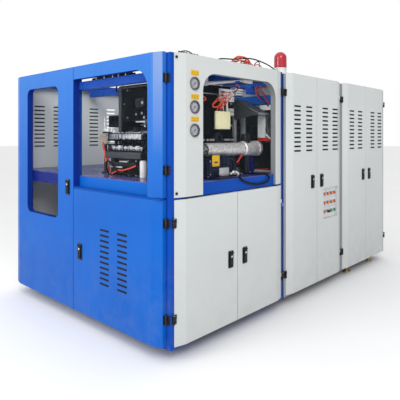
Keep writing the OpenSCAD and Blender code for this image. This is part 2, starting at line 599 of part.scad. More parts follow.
module loading_rails() { color("silver") place() {
  // two preform rails on a beam with legs, between the blue doors and the clamp
  box(240, 322, 540, 1000, 1294, 1348);
  for (y = [600, 890]) box(256, 306, y, y + 50, dk, 1295);
  for (y = [600, 890]) box(246, 316, y - 20, y + 70, dk, dk + 10);
  for (y = [580, 930]) box(300, 320, y, y + 24, 1347, 1496);
  for (z = [[1356, 1404], [1438, 1496]]) box(250, 301, 554, 974, z[0], z[1]);
  box(240, 257, 620, 946, 1242, 1266);
} }
module oven_unit() { color("silver") place() {
  // conveyor bed, reflector wall, lamp rows and lamp carrier inside the oven cabinet
  box(1480, 2380, 420, 760, 1140, 1170);
  for (y = [440, 720]) for (x = [1500, 2340]) box(x, x + 30, y, y + 20, frame_z + tube + 0.5, 1141);
  box(1520, 2340, 470, 476, 1170, 1560);
  box(1520, 2340, 700, 730, 1170, 1560);
  for (i = [0:7]) cylx(1530, 2330, 684, 1215 + i * 42, 6);
  for (x = [1520, 2326]) box(x, x + 14, 670, 701, 1190, 1540);
} }

// ---------- hoses and cables ----------
function dir(p, i) = let (n = len(p), a = p[max(i - 1, 0)], b = p[min(i + 1, n - 1)], d = b - a) d / norm(d);
function smooth(p, k) = [for (i = [0:len(p) - 2]) for (j = [0:k - 1]) let (t = j / k,
  a = p[max(i - 1, 0)], b = p[i], c = p[i + 1], d = p[min(i + 2, len(p) - 1)])
  0.5 * ((2 * b) + (c - a) * t + (2 * a - 5 * b + 4 * c - d) * t * t + (3 * b - a - 3 * c + d) * t * t * t)];
module hose(pts, r, k = 2, ns = 8) {
  p = concat(smooth(pts, k), [pts[len(pts) - 1]]);
  n = len(p);
  vs = [for (i = [0:n - 1]) let (t = dir(p, i), u0 = abs(t[2]) > 0.9 ? [1, 0, 0] : [0, 0, 1],
    u = cross(t, u0) / norm(cross(t, u0)), v = cross(t, u)) for (s = [0:ns - 1]) p[i] + r * (cos(360 * s / ns) * u + sin(360 * s / ns) * v)];
  polyhedron(points = vs, faces = concat([[for (s = [0:ns - 1]) s]],
    [for (i = [0:n - 2]) for (s = [0:ns - 1]) let (a = i * ns + s, b = i * ns + (s + 1) % ns) [a, a + ns, b + ns, b]],
    [[for (s = [ns - 1:-1:0]) (n - 1) * ns + s]]), convexity = 6);
}
// beacon cable, along the top of the arch rail
cable_1 = [[560, 70, 2012.5], [566, 68, 2028], [600, 60, 2041], [680, 50, 2048], [752, 49, 2054], [902, 49, 2079], [999, 52, 2084], [1100, 58, 2078], [1205, 66, 2066], [1300, 76, 2047], [1352, 90, 2034], [1397, 100, 2038]];
// orange air hose over the rail
hose_1 = [[730, 66, 2011], [742, 66, 2046], [790, 64, 2080], [838, 62, 2088], [890, 62, 2082], [918, 64, 2050], [926, 66, 2011]];
// air hoses from the fittings down to the valve box
hose_2 = [[870, 260.5, 1830], [870, 254, 1830], [864, 244, 1827], [840, 238, 1815], [796, 240, 1788], [742, 246, 1742], [724, 252, 1716], [752, 256, 1702], [806, 262, 1714], [840, 274, 1738]];
hose_3 = [[930, 260.5, 1830], [930, 254, 1830], [924, 242, 1828], [902, 222, 1816], [866, 212, 1796], [816, 212, 1770], [788, 222, 1730], [786, 246, 1700], [790, 262, 1684], [790, 262, 1671.5]];
// black cable from the gearmotor, in a loop over the front edge of the deck
cable_2 = [[882, 215, 1200], [905, 215, 1199], [930, 165, 1180], [885, 95, 1166], [778, 30, 1168], [766, 12, 1158], [790, 9, 1138], [860, 9, 1112], [950, 9, 1095], [1040, 9, 1091], [1115, 9, 1102], [1148, 9, 1124], [1138, 10, 1147], [1118, 16, 1163], [1100, 34, 1168], [1075, 90, 1165.5], [1060, 150, 1165.5]];
module hoses_and_cables() { color("black") place() {
  hose(cable_1, 5);
  hose(hose_1, 5);
  hose(hose_2, 5);
  hose(hose_3, 5);
  hose(cable_2, 8);
} }

front_frame();
oven_cabinet_frame();
electrical_cabinet_frame();
deck_plate();
levelling_feet();
hinge_leaves();
arch_panel();
arch_screws();
gauge_cases();
gauge_lenses();
gauge_needle_1();
gauge_needle_2();
gauge_needle_3();
back_panels();
cabinet_panels();
tall_door();
upper_blue_door();
lower_blue_door();
lower_white_door_left();
lower_white_door_right();
oven_door_left();
oven_door_right();
electrical_door_left();
electrical_door_right();
tall_door_pane();
upper_door_pane();
arch_pane();
latch_tall();
latch_lower_blue();
latch_white_left();
latch_white_right();
latch_oven_left();
latch_oven_right();
latch_electrical_left();
latch_electrical_right();
control_plate();
control_holders();
pilot_lamps();
selector_knob();
green_button_1();
green_button_2();
beacon_base();
beacon_dome();
beacon_reflector();
press_frame();
stretch_housing();
tie_bars();
front_platen();
rear_platen();
front_mould();
rear_mould();
stretch_carriage();
transfer_beam();
gearmotor();
air_duct();
air_panel();
outlet_hood();
loading_rails();
oven_unit();
hoses_and_cables();
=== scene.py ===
import bpy, bmesh, math
from mathutils import Vector, Matrix, noise


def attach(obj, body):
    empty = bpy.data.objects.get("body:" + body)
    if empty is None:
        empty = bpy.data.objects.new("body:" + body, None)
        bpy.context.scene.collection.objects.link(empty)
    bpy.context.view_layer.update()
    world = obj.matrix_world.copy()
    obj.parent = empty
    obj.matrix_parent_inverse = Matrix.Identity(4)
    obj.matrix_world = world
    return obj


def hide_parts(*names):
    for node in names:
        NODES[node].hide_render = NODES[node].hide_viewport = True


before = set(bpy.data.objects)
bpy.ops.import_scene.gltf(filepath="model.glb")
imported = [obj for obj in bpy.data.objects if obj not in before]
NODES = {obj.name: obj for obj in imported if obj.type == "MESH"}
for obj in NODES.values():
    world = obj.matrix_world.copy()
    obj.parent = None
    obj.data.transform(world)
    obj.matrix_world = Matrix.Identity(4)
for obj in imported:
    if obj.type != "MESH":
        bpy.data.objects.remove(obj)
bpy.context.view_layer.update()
OX, OY = 1.780, 1.074            # corner frame to row frame


def C(x, y, z):
    """Corner-frame millimetres to the row frame in metres."""
    return Vector((x / 1000 - OX, y / 1000 - OY, z / 1000))


# ------------------------------------------------------------------ camera
cam_data = bpy.data.cameras.new("camera")
cam = bpy.data.objects.new("camera", cam_data)
bpy.context.scene.collection.objects.link(cam)
cam_data.sensor_width = 36.0
cam_data.lens = 40.976
cam_data.shift_y = -0.1613
cam_data.clip_start, cam_data.clip_end = 0.05, 400
cam.location = (-3.733, -3.192, 1.476)
cam.rotation_euler = (math.radians(90), 0, math.radians(-46.897))
bpy.context.scene.camera = cam



def link(o):
    bpy.context.scene.collection.objects.link(o)
    return o


# ------------------------------------------------------------------ materials
bpy.context.scene.view_settings.view_transform = "Standard"


class NB:
    """Short node-building helper for one material."""

    def __init__(self, name):
        self.m = bpy.data.materials.new(name)
        self.m.use_nodes = True
        self.t = self.m.node_tree
        self.t.nodes.clear()
        self.out = self.n("ShaderNodeOutputMaterial")
        self.b = self.n("ShaderNodeBsdfPrincipled")
        self.l(self.b.outputs[0], self.out.inputs[0])
        self.co = self.n("ShaderNodeTexCoord").outputs["Object"]

    def n(self, kind, **kw):
        x = self.t.nodes.new(kind)
        for k, v in kw.items():
            setattr(x, k, v)
        return x

    def l(self, a, b):
        self.t.links.new(a, b)

    def val(self, sock, v):
        self.b.inputs[sock].default_value = v

    def mapping(self, scale=(1, 1, 1), rot=(0, 0, 0), loc=(0, 0, 0)):
        m = self.n("ShaderNodeMapping")
        m.inputs["Scale"].default_value = scale
        m.inputs["Rotation"].default_value = rot
        m.inputs["Location"].default_value = loc
        self.l(self.co, m.inputs["Vector"])
        return m.outputs[0]

    def noise(self, scale, detail=3, rough=0.55, vec=None, distortion=0.0):
        x = self.n("ShaderNodeTexNoise")
        x.inputs["Scale"].default_value = scale
        x.inputs["Detail"].default_value = detail
        x.inputs["Roughness"].default_value = rough
        x.inputs["Distortion"].default_value = distortion
        self.l(vec if vec is not None else self.co, x.inputs["Vector"])
        return x.outputs["Fac"]

    def ramp(self, fac, stops, interp="LINEAR"):
        r = self.n("ShaderNodeValToRGB")
        r.color_ramp.interpolation = interp
        e = r.color_ramp.elements
        while len(e) > 1:
            e.remove(e[-1])
        e[0].position, e[0].color = stops[0][0], tuple(stops[0][1]) + (1,) * (4 - len(stops[0][1]))
        for p, c in stops[1:]:
            q = e.new(p)
            q.color = tuple(c) + (1,) * (4 - len(c))
        self.l(fac, r.inputs["Fac"])
        return r.outputs["Color"]

    def mix(self, fac, a, b, blend="MIX"):
        x = self.n("ShaderNodeMix", data_type="RGBA", blend_type=blend)
        ins = [i for i in x.inputs if i.enabled]
        for s, v in zip(ins, (fac, a, b)):
            if isinstance(v, (int, float)):
                s.default_value = v
            elif isinstance(v, tuple):
                s.default_value = v + (1,) * (4 - len(v))
            else:
                self.l(v, s)
        return [o for o in x.outputs if o.enabled][0]

    def math(self, op, a, b=None, clamp=False):
        x = self.n("ShaderNodeMath", operation=op, use_clamp=clamp)
        for i, v in enumerate((a, b)):
            if v is None:
                continue
            if isinstance(v, (int, float)):
                x.inputs[i].default_value = v
            else:
                self.l(v, x.inputs[i])
        return x.outputs[0]

    def xyz(self, vec=None):
        s = self.n("ShaderNodeSeparateXYZ")
        self.l(vec if vec is not None else self.co, s.inputs[0])
        return s.outputs

    def maprange(self, v, a, b, c=0.0, d=1.0):
        x = self.n("ShaderNodeMapRange")
        self.l(v, x.inputs[0])
        for i, q in zip((1, 2, 3, 4), (a, b, c, d)):
            x.inputs[i].default_value = q
        return x.outputs[0]

    def bump(self, height, strength, dist, normal=None):
        b = self.n("ShaderNodeBump")
        b.inputs["Strength"].default_value = strength
        b.inputs["Distance"].default_value = dist
        self.l(height, b.inputs["Height"])
        if normal is not None:
            self.l(normal, b.inputs["Normal"])
        return b.outputs[0]


def painted(name, base, dark, rough=0.38, coat=0.0, dirt=0.25, peel=0.12, wear=(0.55, 0.56, 0.58), top=None, spec=0.25, low_dark=0.0, return_shade=None, zones=()):
    """Powder coat: slow colour drift, orange-peel bump, dust towards the floor, small rub marks; on request also a
    painted sheen towards the top, painted shade towards the floor and on window returns, and tints by place, many of
    them painted shade and painted highlights.
    """
    k = NB(name)
    big = k.noise(1.1, 3)
    col = k.mix(k.maprange(big, 0.35, 0.68), base, dark)
    # painted sheen: the colour turns lighter towards the top, standing in for reflected light
    if top is not None:
        z = k.xyz()[2]
        col = k.mix(k.maprange(z, 0.9, 2.05, 0, 0.85), col, top)
    # dust near the floor and in faint vertical streaks
    z = k.xyz()[2]
    low = k.maprange(z, 0.75, 0.08, 0, 1)
    spots = k.noise(9, 5, 0.65)
    dust = k.math("MULTIPLY", low, k.maprange(spots, 0.42, 0.72))
    col = k.mix(k.math("MULTIPLY", dust, dirt), col, (0.42, 0.40, 0.36))
    streak = k.noise(1, 3, 0.6, vec=k.mapping(scale=(14, 14, 0.7)))
    col = k.mix(k.math("MULTIPLY", k.maprange(streak, 0.55, 0.8), 0.16), col, dark)
    # painted shade: the colour darkens towards the floor
    if low_dark:
        shade = k.maprange(z, 1.5, 0.1, 0, low_dark)
        col = k.mix(shade, col, tuple(c * 0.5 for c in base))
    if return_shade is not None:                       # painted shade on the turned-in edges of the window openings
        x, y, zz = k.xyz()
        deep = k.math("GREATER_THAN", x, 0.003 - OX)
        tall = k.math("MULTIPLY", k.math("LESS_THAN", k.math("ABSOLUTE", k.math("ADD", y, OY - 1.592)), 0.276), k.math("LESS_THAN", k.math("ABSOLUTE", k.math("ADD", zz, -1.340)), 0.5535))
        wide = k.math("MULTIPLY", k.math("LESS_THAN", k.math("ABSOLUTE", k.math("ADD", y, OY - 0.636)), 0.455), k.math("LESS_THAN", k.math("ABSOLUTE", k.math("ADD", zz, -1.499)), 0.426))
        col = k.mix(k.math("MULTIPLY", deep, k.math("MAXIMUM", tall, wide)), col, return_shade)
    for box, tint in zones:                      # parts of the piece tinted by place, in the part's millimetres; many tints are painted shade and painted highlights, noted where each material is made
        x, y, zz = k.xyz()
        m = None
        for v, lo, hi, off in ((x, box[0], box[1], OX), (y, box[2], box[3], OY), (zz, box[4], box[5], 0)):
            q = k.math("LESS_THAN", k.math("ABSOLUTE", k.math("ADD", v, off - (lo + hi) / 2000.0)), (hi - lo) / 2000.0)
            m = q if m is None else k.math("MULTIPLY", m, q)
        if len(tint) == 4:                       # fades in upwards
            m = k.math("MULTIPLY", m, k.maprange(zz, box[4] / 1000.0, box[5] / 1000.0, 0, tint[3]))
        col = k.mix(m, col, tint[:3])
    # rub marks
    rub = k.noise(26, 6, 0.7, distortion=1.2)
    mask = k.math("MULTIPLY", k.maprange(rub, 0.70, 0.76), k.maprange(k.noise(1.7, 2), 0.5, 0.66))
    col = k.mix(k.math("MULTIPLY", mask, 0.35), col, wear)
    k.l(col, k.b.inputs["Base Color"])
    r = k.maprange(k.noise(5, 4), 0.3, 0.7, rough - 0.06, rough + 0.10)
    k.l(k.math("ADD", r, k.math("MULTIPLY", dust, 0.25)), k.b.inputs["Roughness"])
    k.val("Coat Weight", coat)
    k.val("Coat Roughness", 0.12)
    k.val("Specular IOR Level", spec)
    k.l(k.bump(k.noise(260, 2), peel, 0.0006, k.bump(k.noise(3.2, 2), 0.06, 0.02)), k.b.inputs["Normal"])
    return k.m


def metal(name, base, dark, rough=0.3, brush=(1, 1, 60), strength=0.12, metallic=1.0, grime=0.3):
    """Ground or brushed metal with grain along one axis and grime in patches."""
    k = NB(name)
    grain = k.noise(14, 6, 0.6, vec=k.mapping(scale=brush))
    patch = k.noise(6, 4)
    col = k.mix(k.maprange(patch, 0.35, 0.75), base, dark)
    col = k.mix(k.math("MULTIPLY", k.maprange(grain, 0.4, 0.7), grime), col, dark)
    k.l(col, k.b.inputs["Base Color"])
    k.val("Metallic", metallic)
    k.l(k.maprange(grain, 0.3, 0.75, rough - 0.07, rough + 0.15), k.b.inputs["Roughness"])
    k.l(k.bump(grain, strength, 0.001), k.b.inputs["Normal"])
    return k.m


def plastic(name, base, dark, rough=0.4, grain=420, bump=0.1, coat=0.0, spec=0.5):
    k = NB(name)
    col = k.mix(k.maprange(k.noise(18, 4), 0.35, 0.7), base, dark)
    k.l(col, k.b.inputs["Base Color"])
    k.l(k.maprange(k.noise(40, 3), 0.3, 0.7, rough - 0.05, rough + 0.1), k.b.inputs["Roughness"])
    k.val("Coat Weight", coat)
    k.val("Specular IOR Level", spec)
    k.l(k.bump(k.noise(grain, 2), bump, 0.0004), k.b.inputs["Normal"])
    return k.m


def clear(name, tint, alpha=0.10, rough=0.05):
    k = NB(name)
    k.l(k.mix(k.maprange(k.noise(3, 3), 0.3, 0.7), tint, tuple(c * 0.93 for c in tint)), k.b.inputs["Base Color"])
    k.val("Alpha", alpha)
    k.l(k.maprange(k.noise(7, 4), 0.3, 0.8, rough, rough + 0.06), k.b.inputs["Roughness"])
    return k.m


def hinge_material():
    """Black hinge finish; the leaf beside the lower right white door is painted over with the frame."""
    k = NB("hinge_black")
    col = k.mix(k.maprange(k.noise(30, 4), 0.35, 0.7), (0.010, 0.010, 0.012), (0.024, 0.024, 0.027))
    x, y, z = k.xyz()
    inx = k.math("LESS_THAN", k.math("ABSOLUTE", k.math("ADD", x, OX - 1.347)), 0.016)
    inz = k.math("LESS_THAN", k.math("ABSOLUTE", k.math("ADD", z, -0.905)), 0.035)
    col = k.mix(k.math("MULTIPLY", inx, inz), col, (0.10, 0.16, 0.44))
    k.l(col, k.b.inputs["Base Color"])
    k.l(k.maprange(k.noise(40, 3), 0.3, 0.7, 0.40, 0.55), k.b.inputs["Roughness"])
    k.val("Specular IOR Level", 0.2)
    k.l(k.bump(k.noise(500, 2), 0.1, 0.0003), k.b.inputs["Normal"])
    return k.m


def foil_material():
    k = NB("crinkled_foil")
    v = k.n("ShaderNodeTexVoronoi")
    v.inputs["Scale"].default_value = 120
    k.l(k.co, v.inputs["Vector"])
    col = k.mix(k.maprange(k.noise(45, 5, 0.7), 0.35, 0.7), (0.93, 0.92, 0.90), (0.50, 0.49, 0.48))
    dark = k.math("MULTIPLY", k.math("LESS_THAN", k.xyz()[0], 0.604 - OX), k.maprange(k.noise(75, 4, 0.7), 0.66, 0.50))
    col = k.mix(k.math("MULTIPLY", dark, 0.95), col, (0.008, 0.008, 0.010))      # near-black colour on the end beside the motor
    k.l(col, k.b.inputs["Base Color"])
    k.val("Metallic", 0.62)
    k.l(k.maprange(k.noise(60, 4), 0.3, 0.7, 0.26, 0.46), k.b.inputs["Roughness"])
    k.l(k.bump(v.outputs["Distance"], 0.55, 0.004, k.bump(k.noise(210, 4, 0.7), 0.45, 0.002)), k.b.inputs["Normal"])
    return k.m


def dome_material():
    k = NB("beacon_lens")
    k.l(k.mix(k.maprange(k.noise(9, 3), 0.3, 0.7), (0.56, 0.010, 0.026), (0.42, 0.006, 0.018)), k.b.inputs["Base Color"])
    k.l(k.maprange(k.noise(20, 3), 0.3, 0.7, 0.12, 0.2), k.b.inputs["Roughness"])
    k.val("Alpha", 0.86)
    k.val("Coat Weight", 0.6)
    k.val("Coat Roughness", 0.06)
    k.val("Subsurface Weight", 0.2)
    k.val("Subsurface Radius", (0.02, 0.002, 0.002))
    return k.m


def mesh_pad_material():
    k = NB("filter_mat")
    k.l(k.mix(k.maprange(k.noise(500, 2), 0.4, 0.6), (0.010, 0.011, 0.013), (0.035, 0.036, 0.04)), k.b.inputs["Base Color"])
    k.l(k.maprange(k.noise(60, 2), 0.3, 0.7, 0.85, 0.95), k.b.inputs["Roughness"])
    k.val("Specular IOR Level", 0.15)
    k.l(k.bump(k.noise(700, 2), 0.5, 0.001), k.b.inputs["Normal"])
    return k.m


def lamp_material(name, lo, hi, mid):
    """Moulded lens: tone varying at random under a glossy coat, with a fine bump."""
    k = NB(name)
    k.l(k.mix(k.maprange(k.noise(60, 3), 0.35, 0.7), lo, mid), k.b.inputs["Base Color"])
    k.l(k.maprange(k.noise(90, 2), 0.3, 0.7, 0.16, 0.26), k.b.inputs["Roughness"])
    k.val("Coat Weight", 0.7)
    k.val("Coat Roughness", 0.05)
    k.l(k.bump(k.noise(300, 2), 0.04, 0.0003), k.b.inputs["Normal"])
    return k.m


M = {}
DOOR_BLUE = (0.0025, 0.112, 0.49)
# blue paint: painted sheen towards the top, painted shade on the window returns, and a painted highlight on the near
# corner's bevel that fades in upwards
M["blue"] = painted("blue_paint", DOOR_BLUE, (0.0015, 0.091, 0.425), rough=0.38, coat=0.02, dirt=0.10, top=(0.040, 0.178, 0.55), spec=0.14, return_shade=(0.005, 0.030, 0.26),
                    zones=(((-5, 62, 65, 134, 1340, 2040), (0.165, 0.250, 0.480, 1.0)),))
# frame paint by place: door blue on the beam face under the blue window; painted shade, dark navy, on the deck beam
# seen through the tall window; a lighter blue on two beams near the arch's right end
M["blue_frame"] = painted("blue_frame_paint", (0.004, 0.072, 0.42), (0.003, 0.052, 0.34), rough=0.42, dirt=0.2, spec=0.10,
                          zones=(((50, 58.5, 86, 1080, 1058, 1152), DOOR_BLUE), ((50, 58.5, 1200, 2085, 1058, 1152), (0.001, 0.008, 0.16)), ((1240, 1310, 84, 1000, 1746, 1824), (0.004, 0.110, 0.50)), ((1296, 1310, 84, 1000, 1906, 1934), (0.004, 0.110, 0.50))))
# deck: painted shade, dark navy over the half of the deck behind the tall door
M["deck"] = painted("deck_paint", (0.030, 0.050, 0.27), (0.110, 0.105, 0.26), rough=0.24, dirt=0.3, wear=(0.45, 0.42, 0.42), spec=0.45,
                    zones=(((0, 1400, 1180, 2200, 1140, 1170), (0.002, 0.012, 0.18)),))
# white paint: painted shade towards the floor; a small patch by the hinge of the lower right door is in frame blue
M["white"] = painted("white_paint", (0.640, 0.668, 0.664), (0.608, 0.636, 0.634), rough=0.44, dirt=0.18, wear=(0.50, 0.50, 0.48), spec=0.22, low_dark=0.28,
                     zones=(((1336.5, 1361.5, -10, 40, 901, 939), (0.012, 0.035, 0.20)),))
# arch paint: painted shade on the turned-in edges of the arch window
M["white_arch"] = painted("white_arch_paint", (0.590, 0.617, 0.613), (0.560, 0.587, 0.584), rough=0.44, dirt=0.15, wear=(0.50, 0.50, 0.48), spec=0.22,
                          zones=(((338, 1232, 3, 53, 1066, 1913), (0.25, 0.265, 0.27)),))
# painted light: the inside faces of the back panels are lighter than their outside paint, lightest in the lower bay,
# standing in for light reaching them
INSIDE_LIT = (0.80, 0.83, 0.80)
M["white_back"] = painted("white_back_paint", (0.640, 0.668, 0.664), (0.608, 0.636, 0.634), rough=0.44, dirt=0.18, spec=0.22,
                          zones=(((0, 3600, 2100, 2158.4, 1060, 2100), INSIDE_LIT), ((0, 3600, 2100, 2158.4, 60, 1060), (0.95, 0.95, 0.93))))
M["gray"] = painted("gray_paint", (0.24, 0.265, 0.33), (0.20, 0.22, 0.28), rough=0.48, dirt=0.25, spec=0.2)
M["wall_gray"] = painted("wall_gray_paint", (0.68, 0.70, 0.65), (0.60, 0.62, 0.58), rough=0.45, dirt=0.2, spec=0.2)
M["side_wall"] = painted("side_wall_paint", (0.60, 0.595, 0.57), (0.54, 0.535, 0.51), rough=0.48, dirt=0.2, spec=0.2)
M["black"] = painted("black_paint", (0.0018, 0.0018, 0.0026), (0.003, 0.003, 0.004), rough=0.66, dirt=0.03, wear=(0.04, 0.04, 0.04), spec=0.03)
M["hood"] = painted("hood_paint", (0.066, 0.070, 0.076), (0.050, 0.053, 0.058), rough=0.5, dirt=0.08, wear=(0.16, 0.16, 0.16), spec=0.15)
M["charcoal"] = painted("charcoal_paint", (0.022, 0.024, 0.028), (0.014, 0.015, 0.018), rough=0.50, dirt=0.08, wear=(0.10, 0.10, 0.10), spec=0.10)
M["iron"] = painted("iron_gray_paint", (0.068, 0.070, 0.080), (0.048, 0.050, 0.058), rough=0.48, dirt=0.12, wear=(0.24, 0.24, 0.24), spec=0.15)
M["post_gray"] = painted("post_gray_paint", (0.26, 0.27, 0.29), (0.20, 0.21, 0.23), rough=0.45, dirt=0.1, spec=0.2)
# lighter copy of the post gray, used for painted highlights
M["post_light"] = painted("post_light_paint", (0.42, 0.44, 0.46), (0.34, 0.36, 0.38), rough=0.45, dirt=0.1, spec=0.2)
M["navy"] = painted("navy_paint", (0.006, 0.010, 0.036), (0.004, 0.006, 0.022), rough=0.45, dirt=0.06, wear=(0.10, 0.10, 0.12), spec=0.12)
M["seam_blue"] = painted("seam_blue_paint", (0.003, 0.080, 0.39), (0.002, 0.066, 0.34), rough=0.5, dirt=0.1, spec=0.1)
M["tank_blue"] = painted("tank_blue_paint", (0.006, 0.010, 0.17), (0.004, 0.007, 0.11), rough=0.5, dirt=0.1, spec=0.12)
M["zinc"] = metal("yellow_zinc", (0.62, 0.48, 0.22), (0.42, 0.31, 0.13), rough=0.38, brush=(1, 1, 3), strength=0.05)
M["steel"] = metal("ground_steel", (0.60, 0.61, 0.63), (0.40, 0.41, 0.43), rough=0.30)
M["chrome"] = metal("plated_steel", (0.80, 0.81, 0.83), (0.66, 0.67, 0.69), rough=0.16, brush=(1, 1, 2), strength=0.02)
M["dark_steel"] = metal("dark_steel", (0.20, 0.20, 0.21), (0.10, 0.10, 0.11), rough=0.4)
M["alu"] = metal("milled_aluminium", (0.76, 0.77, 0.79), (0.60, 0.61, 0.63), rough=0.36, brush=(40, 1, 1), metallic=0.75)
M["brass"] = metal("nickel_brass", (0.66, 0.60, 0.42), (0.45, 0.40, 0.26), rough=0.3, brush=(1, 1, 2), strength=0.03)
M["hinge"] = hinge_material()
M["latch"] = plastic("latch_black", (0.006, 0.006, 0.008), (0.012, 0.012, 0.014), rough=0.38, bump=0.15, spec=0.22)
M["rubber"] = plastic("black_rubber", (0.006, 0.006, 0.007), (0.014, 0.014, 0.016), rough=0.55, spec=0.15)
M["orange_hose"] = plastic("orange_hose", (0.90, 0.085, 0.018), (0.74, 0.050, 0.010), rough=0.30, coat=0.3)
M["red_hose"] = plastic("red_hose", (0.55, 0.015, 0.012), (0.40, 0.010, 0.008), rough=0.36, coat=0.2)
M["pink_hose"] = plastic("pink_hose", (0.70, 0.06, 0.07), (0.58, 0.04, 0.05), rough=0.36, coat=0.2)
M["gray_hose"] = plastic("gray_hose", (0.52, 0.52, 0.50), (0.42, 0.42, 0.40), rough=0.4)
M["cream"] = plastic("cream_box", (0.83, 0.80, 0.50), (0.78, 0.74, 0.44), rough=0.42)
M["beige"] = plastic("beige_casting", (0.52, 0.45, 0.35), (0.42, 0.36, 0.28), rough=0.5, grain=160, bump=0.3)
M["yellow"] = plastic("yellow_label", (0.74, 0.47, 0.022), (0.66, 0.40, 0.016), rough=0.5, spec=0.25)
M["amber"] = plastic("label_edge", (0.70, 0.36, 0.01), (0.60, 0.30, 0.01), rough=0.5)
M["mark"] = plastic("label_mark", (0.46, 0.22, 0.010), (0.38, 0.17, 0.008), rough=0.5, spec=0.25)
M["white_pl"] = plastic("white_plastic", (0.78, 0.78, 0.76), (0.70, 0.70, 0.68), rough=0.4)
# whiter copy of the white plastic: painted light for the valve plate, which sits in shade
M["bright_pl"] = plastic("bright_plastic", (0.93, 0.91, 0.90), (0.86, 0.84, 0.83), rough=0.4)
M["dial"] = plastic("dial_white", (0.44, 0.43, 0.48), (0.37, 0.36, 0.41), rough=0.4, bump=0.02)
M["print"] = plastic("dial_print", (0.02, 0.02, 0.022), (0.035, 0.035, 0.038), rough=0.5, bump=0.02)
M["lamp"] = lamp_material("lamp_orange", (0.95, 0.22, 0.012), None, (0.86, 0.13, 0.008))
M["green"] = lamp_material("button_green", (0.015, 0.46, 0.10), None, (0.010, 0.36, 0.07))
M["holder"] = plastic("holder_gray", (0.10, 0.105, 0.12), (0.07, 0.075, 0.09), rough=0.35)
M["pane"] = clear("clear_sheet", (0.30, 0.38, 0.44), alpha=0.012)
M["lens"] = clear("gauge_lens", (0.80, 0.84, 0.88), alpha=0.05)
M["bezel"] = metal("bezel_steel", (0.30, 0.30, 0.31), (0.17, 0.17, 0.18), rough=0.30, brush=(1, 1, 2), strength=0.02)
M["case"] = metal("case_steel", (0.060, 0.060, 0.064), (0.035, 0.035, 0.038), rough=0.45, brush=(1, 1, 2), strength=0.02, metallic=0.5)
M["foil"] = foil_material()
M["dome"] = dome_material()
M["pad"] = mesh_pad_material()


def assign(m, *names):
    for n in names:
        o = NODES[n]
        for s in o.material_slots:
            s.material = m
        if not o.material_slots:
            o.data.materials.append(m)


assign(M["blue"], "tall_door", "upper_blue_door", "lower_blue_door")
assign(M["blue_frame"], "front_frame")
assign(M["deck"], "deck_plate")
assign(M["white"], "lower_white_door_left", "lower_white_door_right", "oven_door_left", "oven_door_right",
       "electrical_door_left", "electrical_door_right")
assign(M["white_arch"], "arch_panel")
assign(M["white_back"], "back_panels")
assign(M["gray"], "oven_cabinet_frame", "electrical_cabinet_frame")
assign(M["side_wall"], "cabinet_panels")
assign(M["zinc"], "levelling_feet")
assign(M["black"], "press_frame", "stretch_housing", "air_duct")
assign(M["hinge"], "hinge_leaves")
assign(M["latch"], "arch_screws")
assign(M["hood"], "outlet_hood")
assign(M["charcoal"], "front_platen", "rear_platen", "loading_rails")
assign(M["case"], "gauge_cases")
assign(M["chrome"], "beacon_reflector")
assign(M["steel"], "tie_bars", "stretch_carriage", "transfer_beam", "oven_unit")
assign(M["dark_steel"], "front_mould", "rear_mould")
assign(M["alu"], "control_plate", "air_panel")
assign(M["lens"], "gauge_lenses")
assign(M["pane"], "tall_door_pane", "upper_door_pane", "arch_pane")
assign(M["latch"], *[n for n in NODES if n.startswith("latch_")], "selector_knob")
assign(M["print"], "gauge_needle_1", "gauge_needle_2", "gauge_needle_3")
assign(M["holder"], "control_holders")
assign(M["lamp"], "pilot_lamps")
assign(M["green"], "green_button_1", "green_button_2")
assign(M["white_pl"], "beacon_base")
assign(M["dome"], "beacon_dome")
assign(M["navy"], "gearmotor")
assign(M["rubber"], "hoses_and_cables")


# ------------------------------------------------------------------ mesh building
def basis(axis):
    a = Vector(axis).normalized()
    u = Vector((0, 0, 1)) if abs(a.z) < 0.9 else Vector((1, 0, 0))
    u = (u - a * u.dot(a)).normalized()
    return a, u, a.cross(u)


def smooth_path(pts, k=6, closed=False):
    pts = [Vector(p) for p in pts]
    n = len(pts)
    out = []
    rng = range(n if closed else n - 1)
    for i in rng:
        if closed:
            a, b, c, d = pts[(i - 1) % n], pts[i], pts[(i + 1) % n], pts[(i + 2) % n]
        else:
            a, b, c, d = pts[max(i - 1, 0)], pts[i], pts[i + 1], pts[min(i + 2, n - 1)]
        for j in range(k):
            t = j / k
            out.append(0.5 * ((2 * b) + (c - a) * t + (2 * a - 5 * b + 4 * c - d) * t * t + (3 * b - a - 3 * c + d) * t ** 3))
    if not closed:
        out.append(pts[-1])
    return out


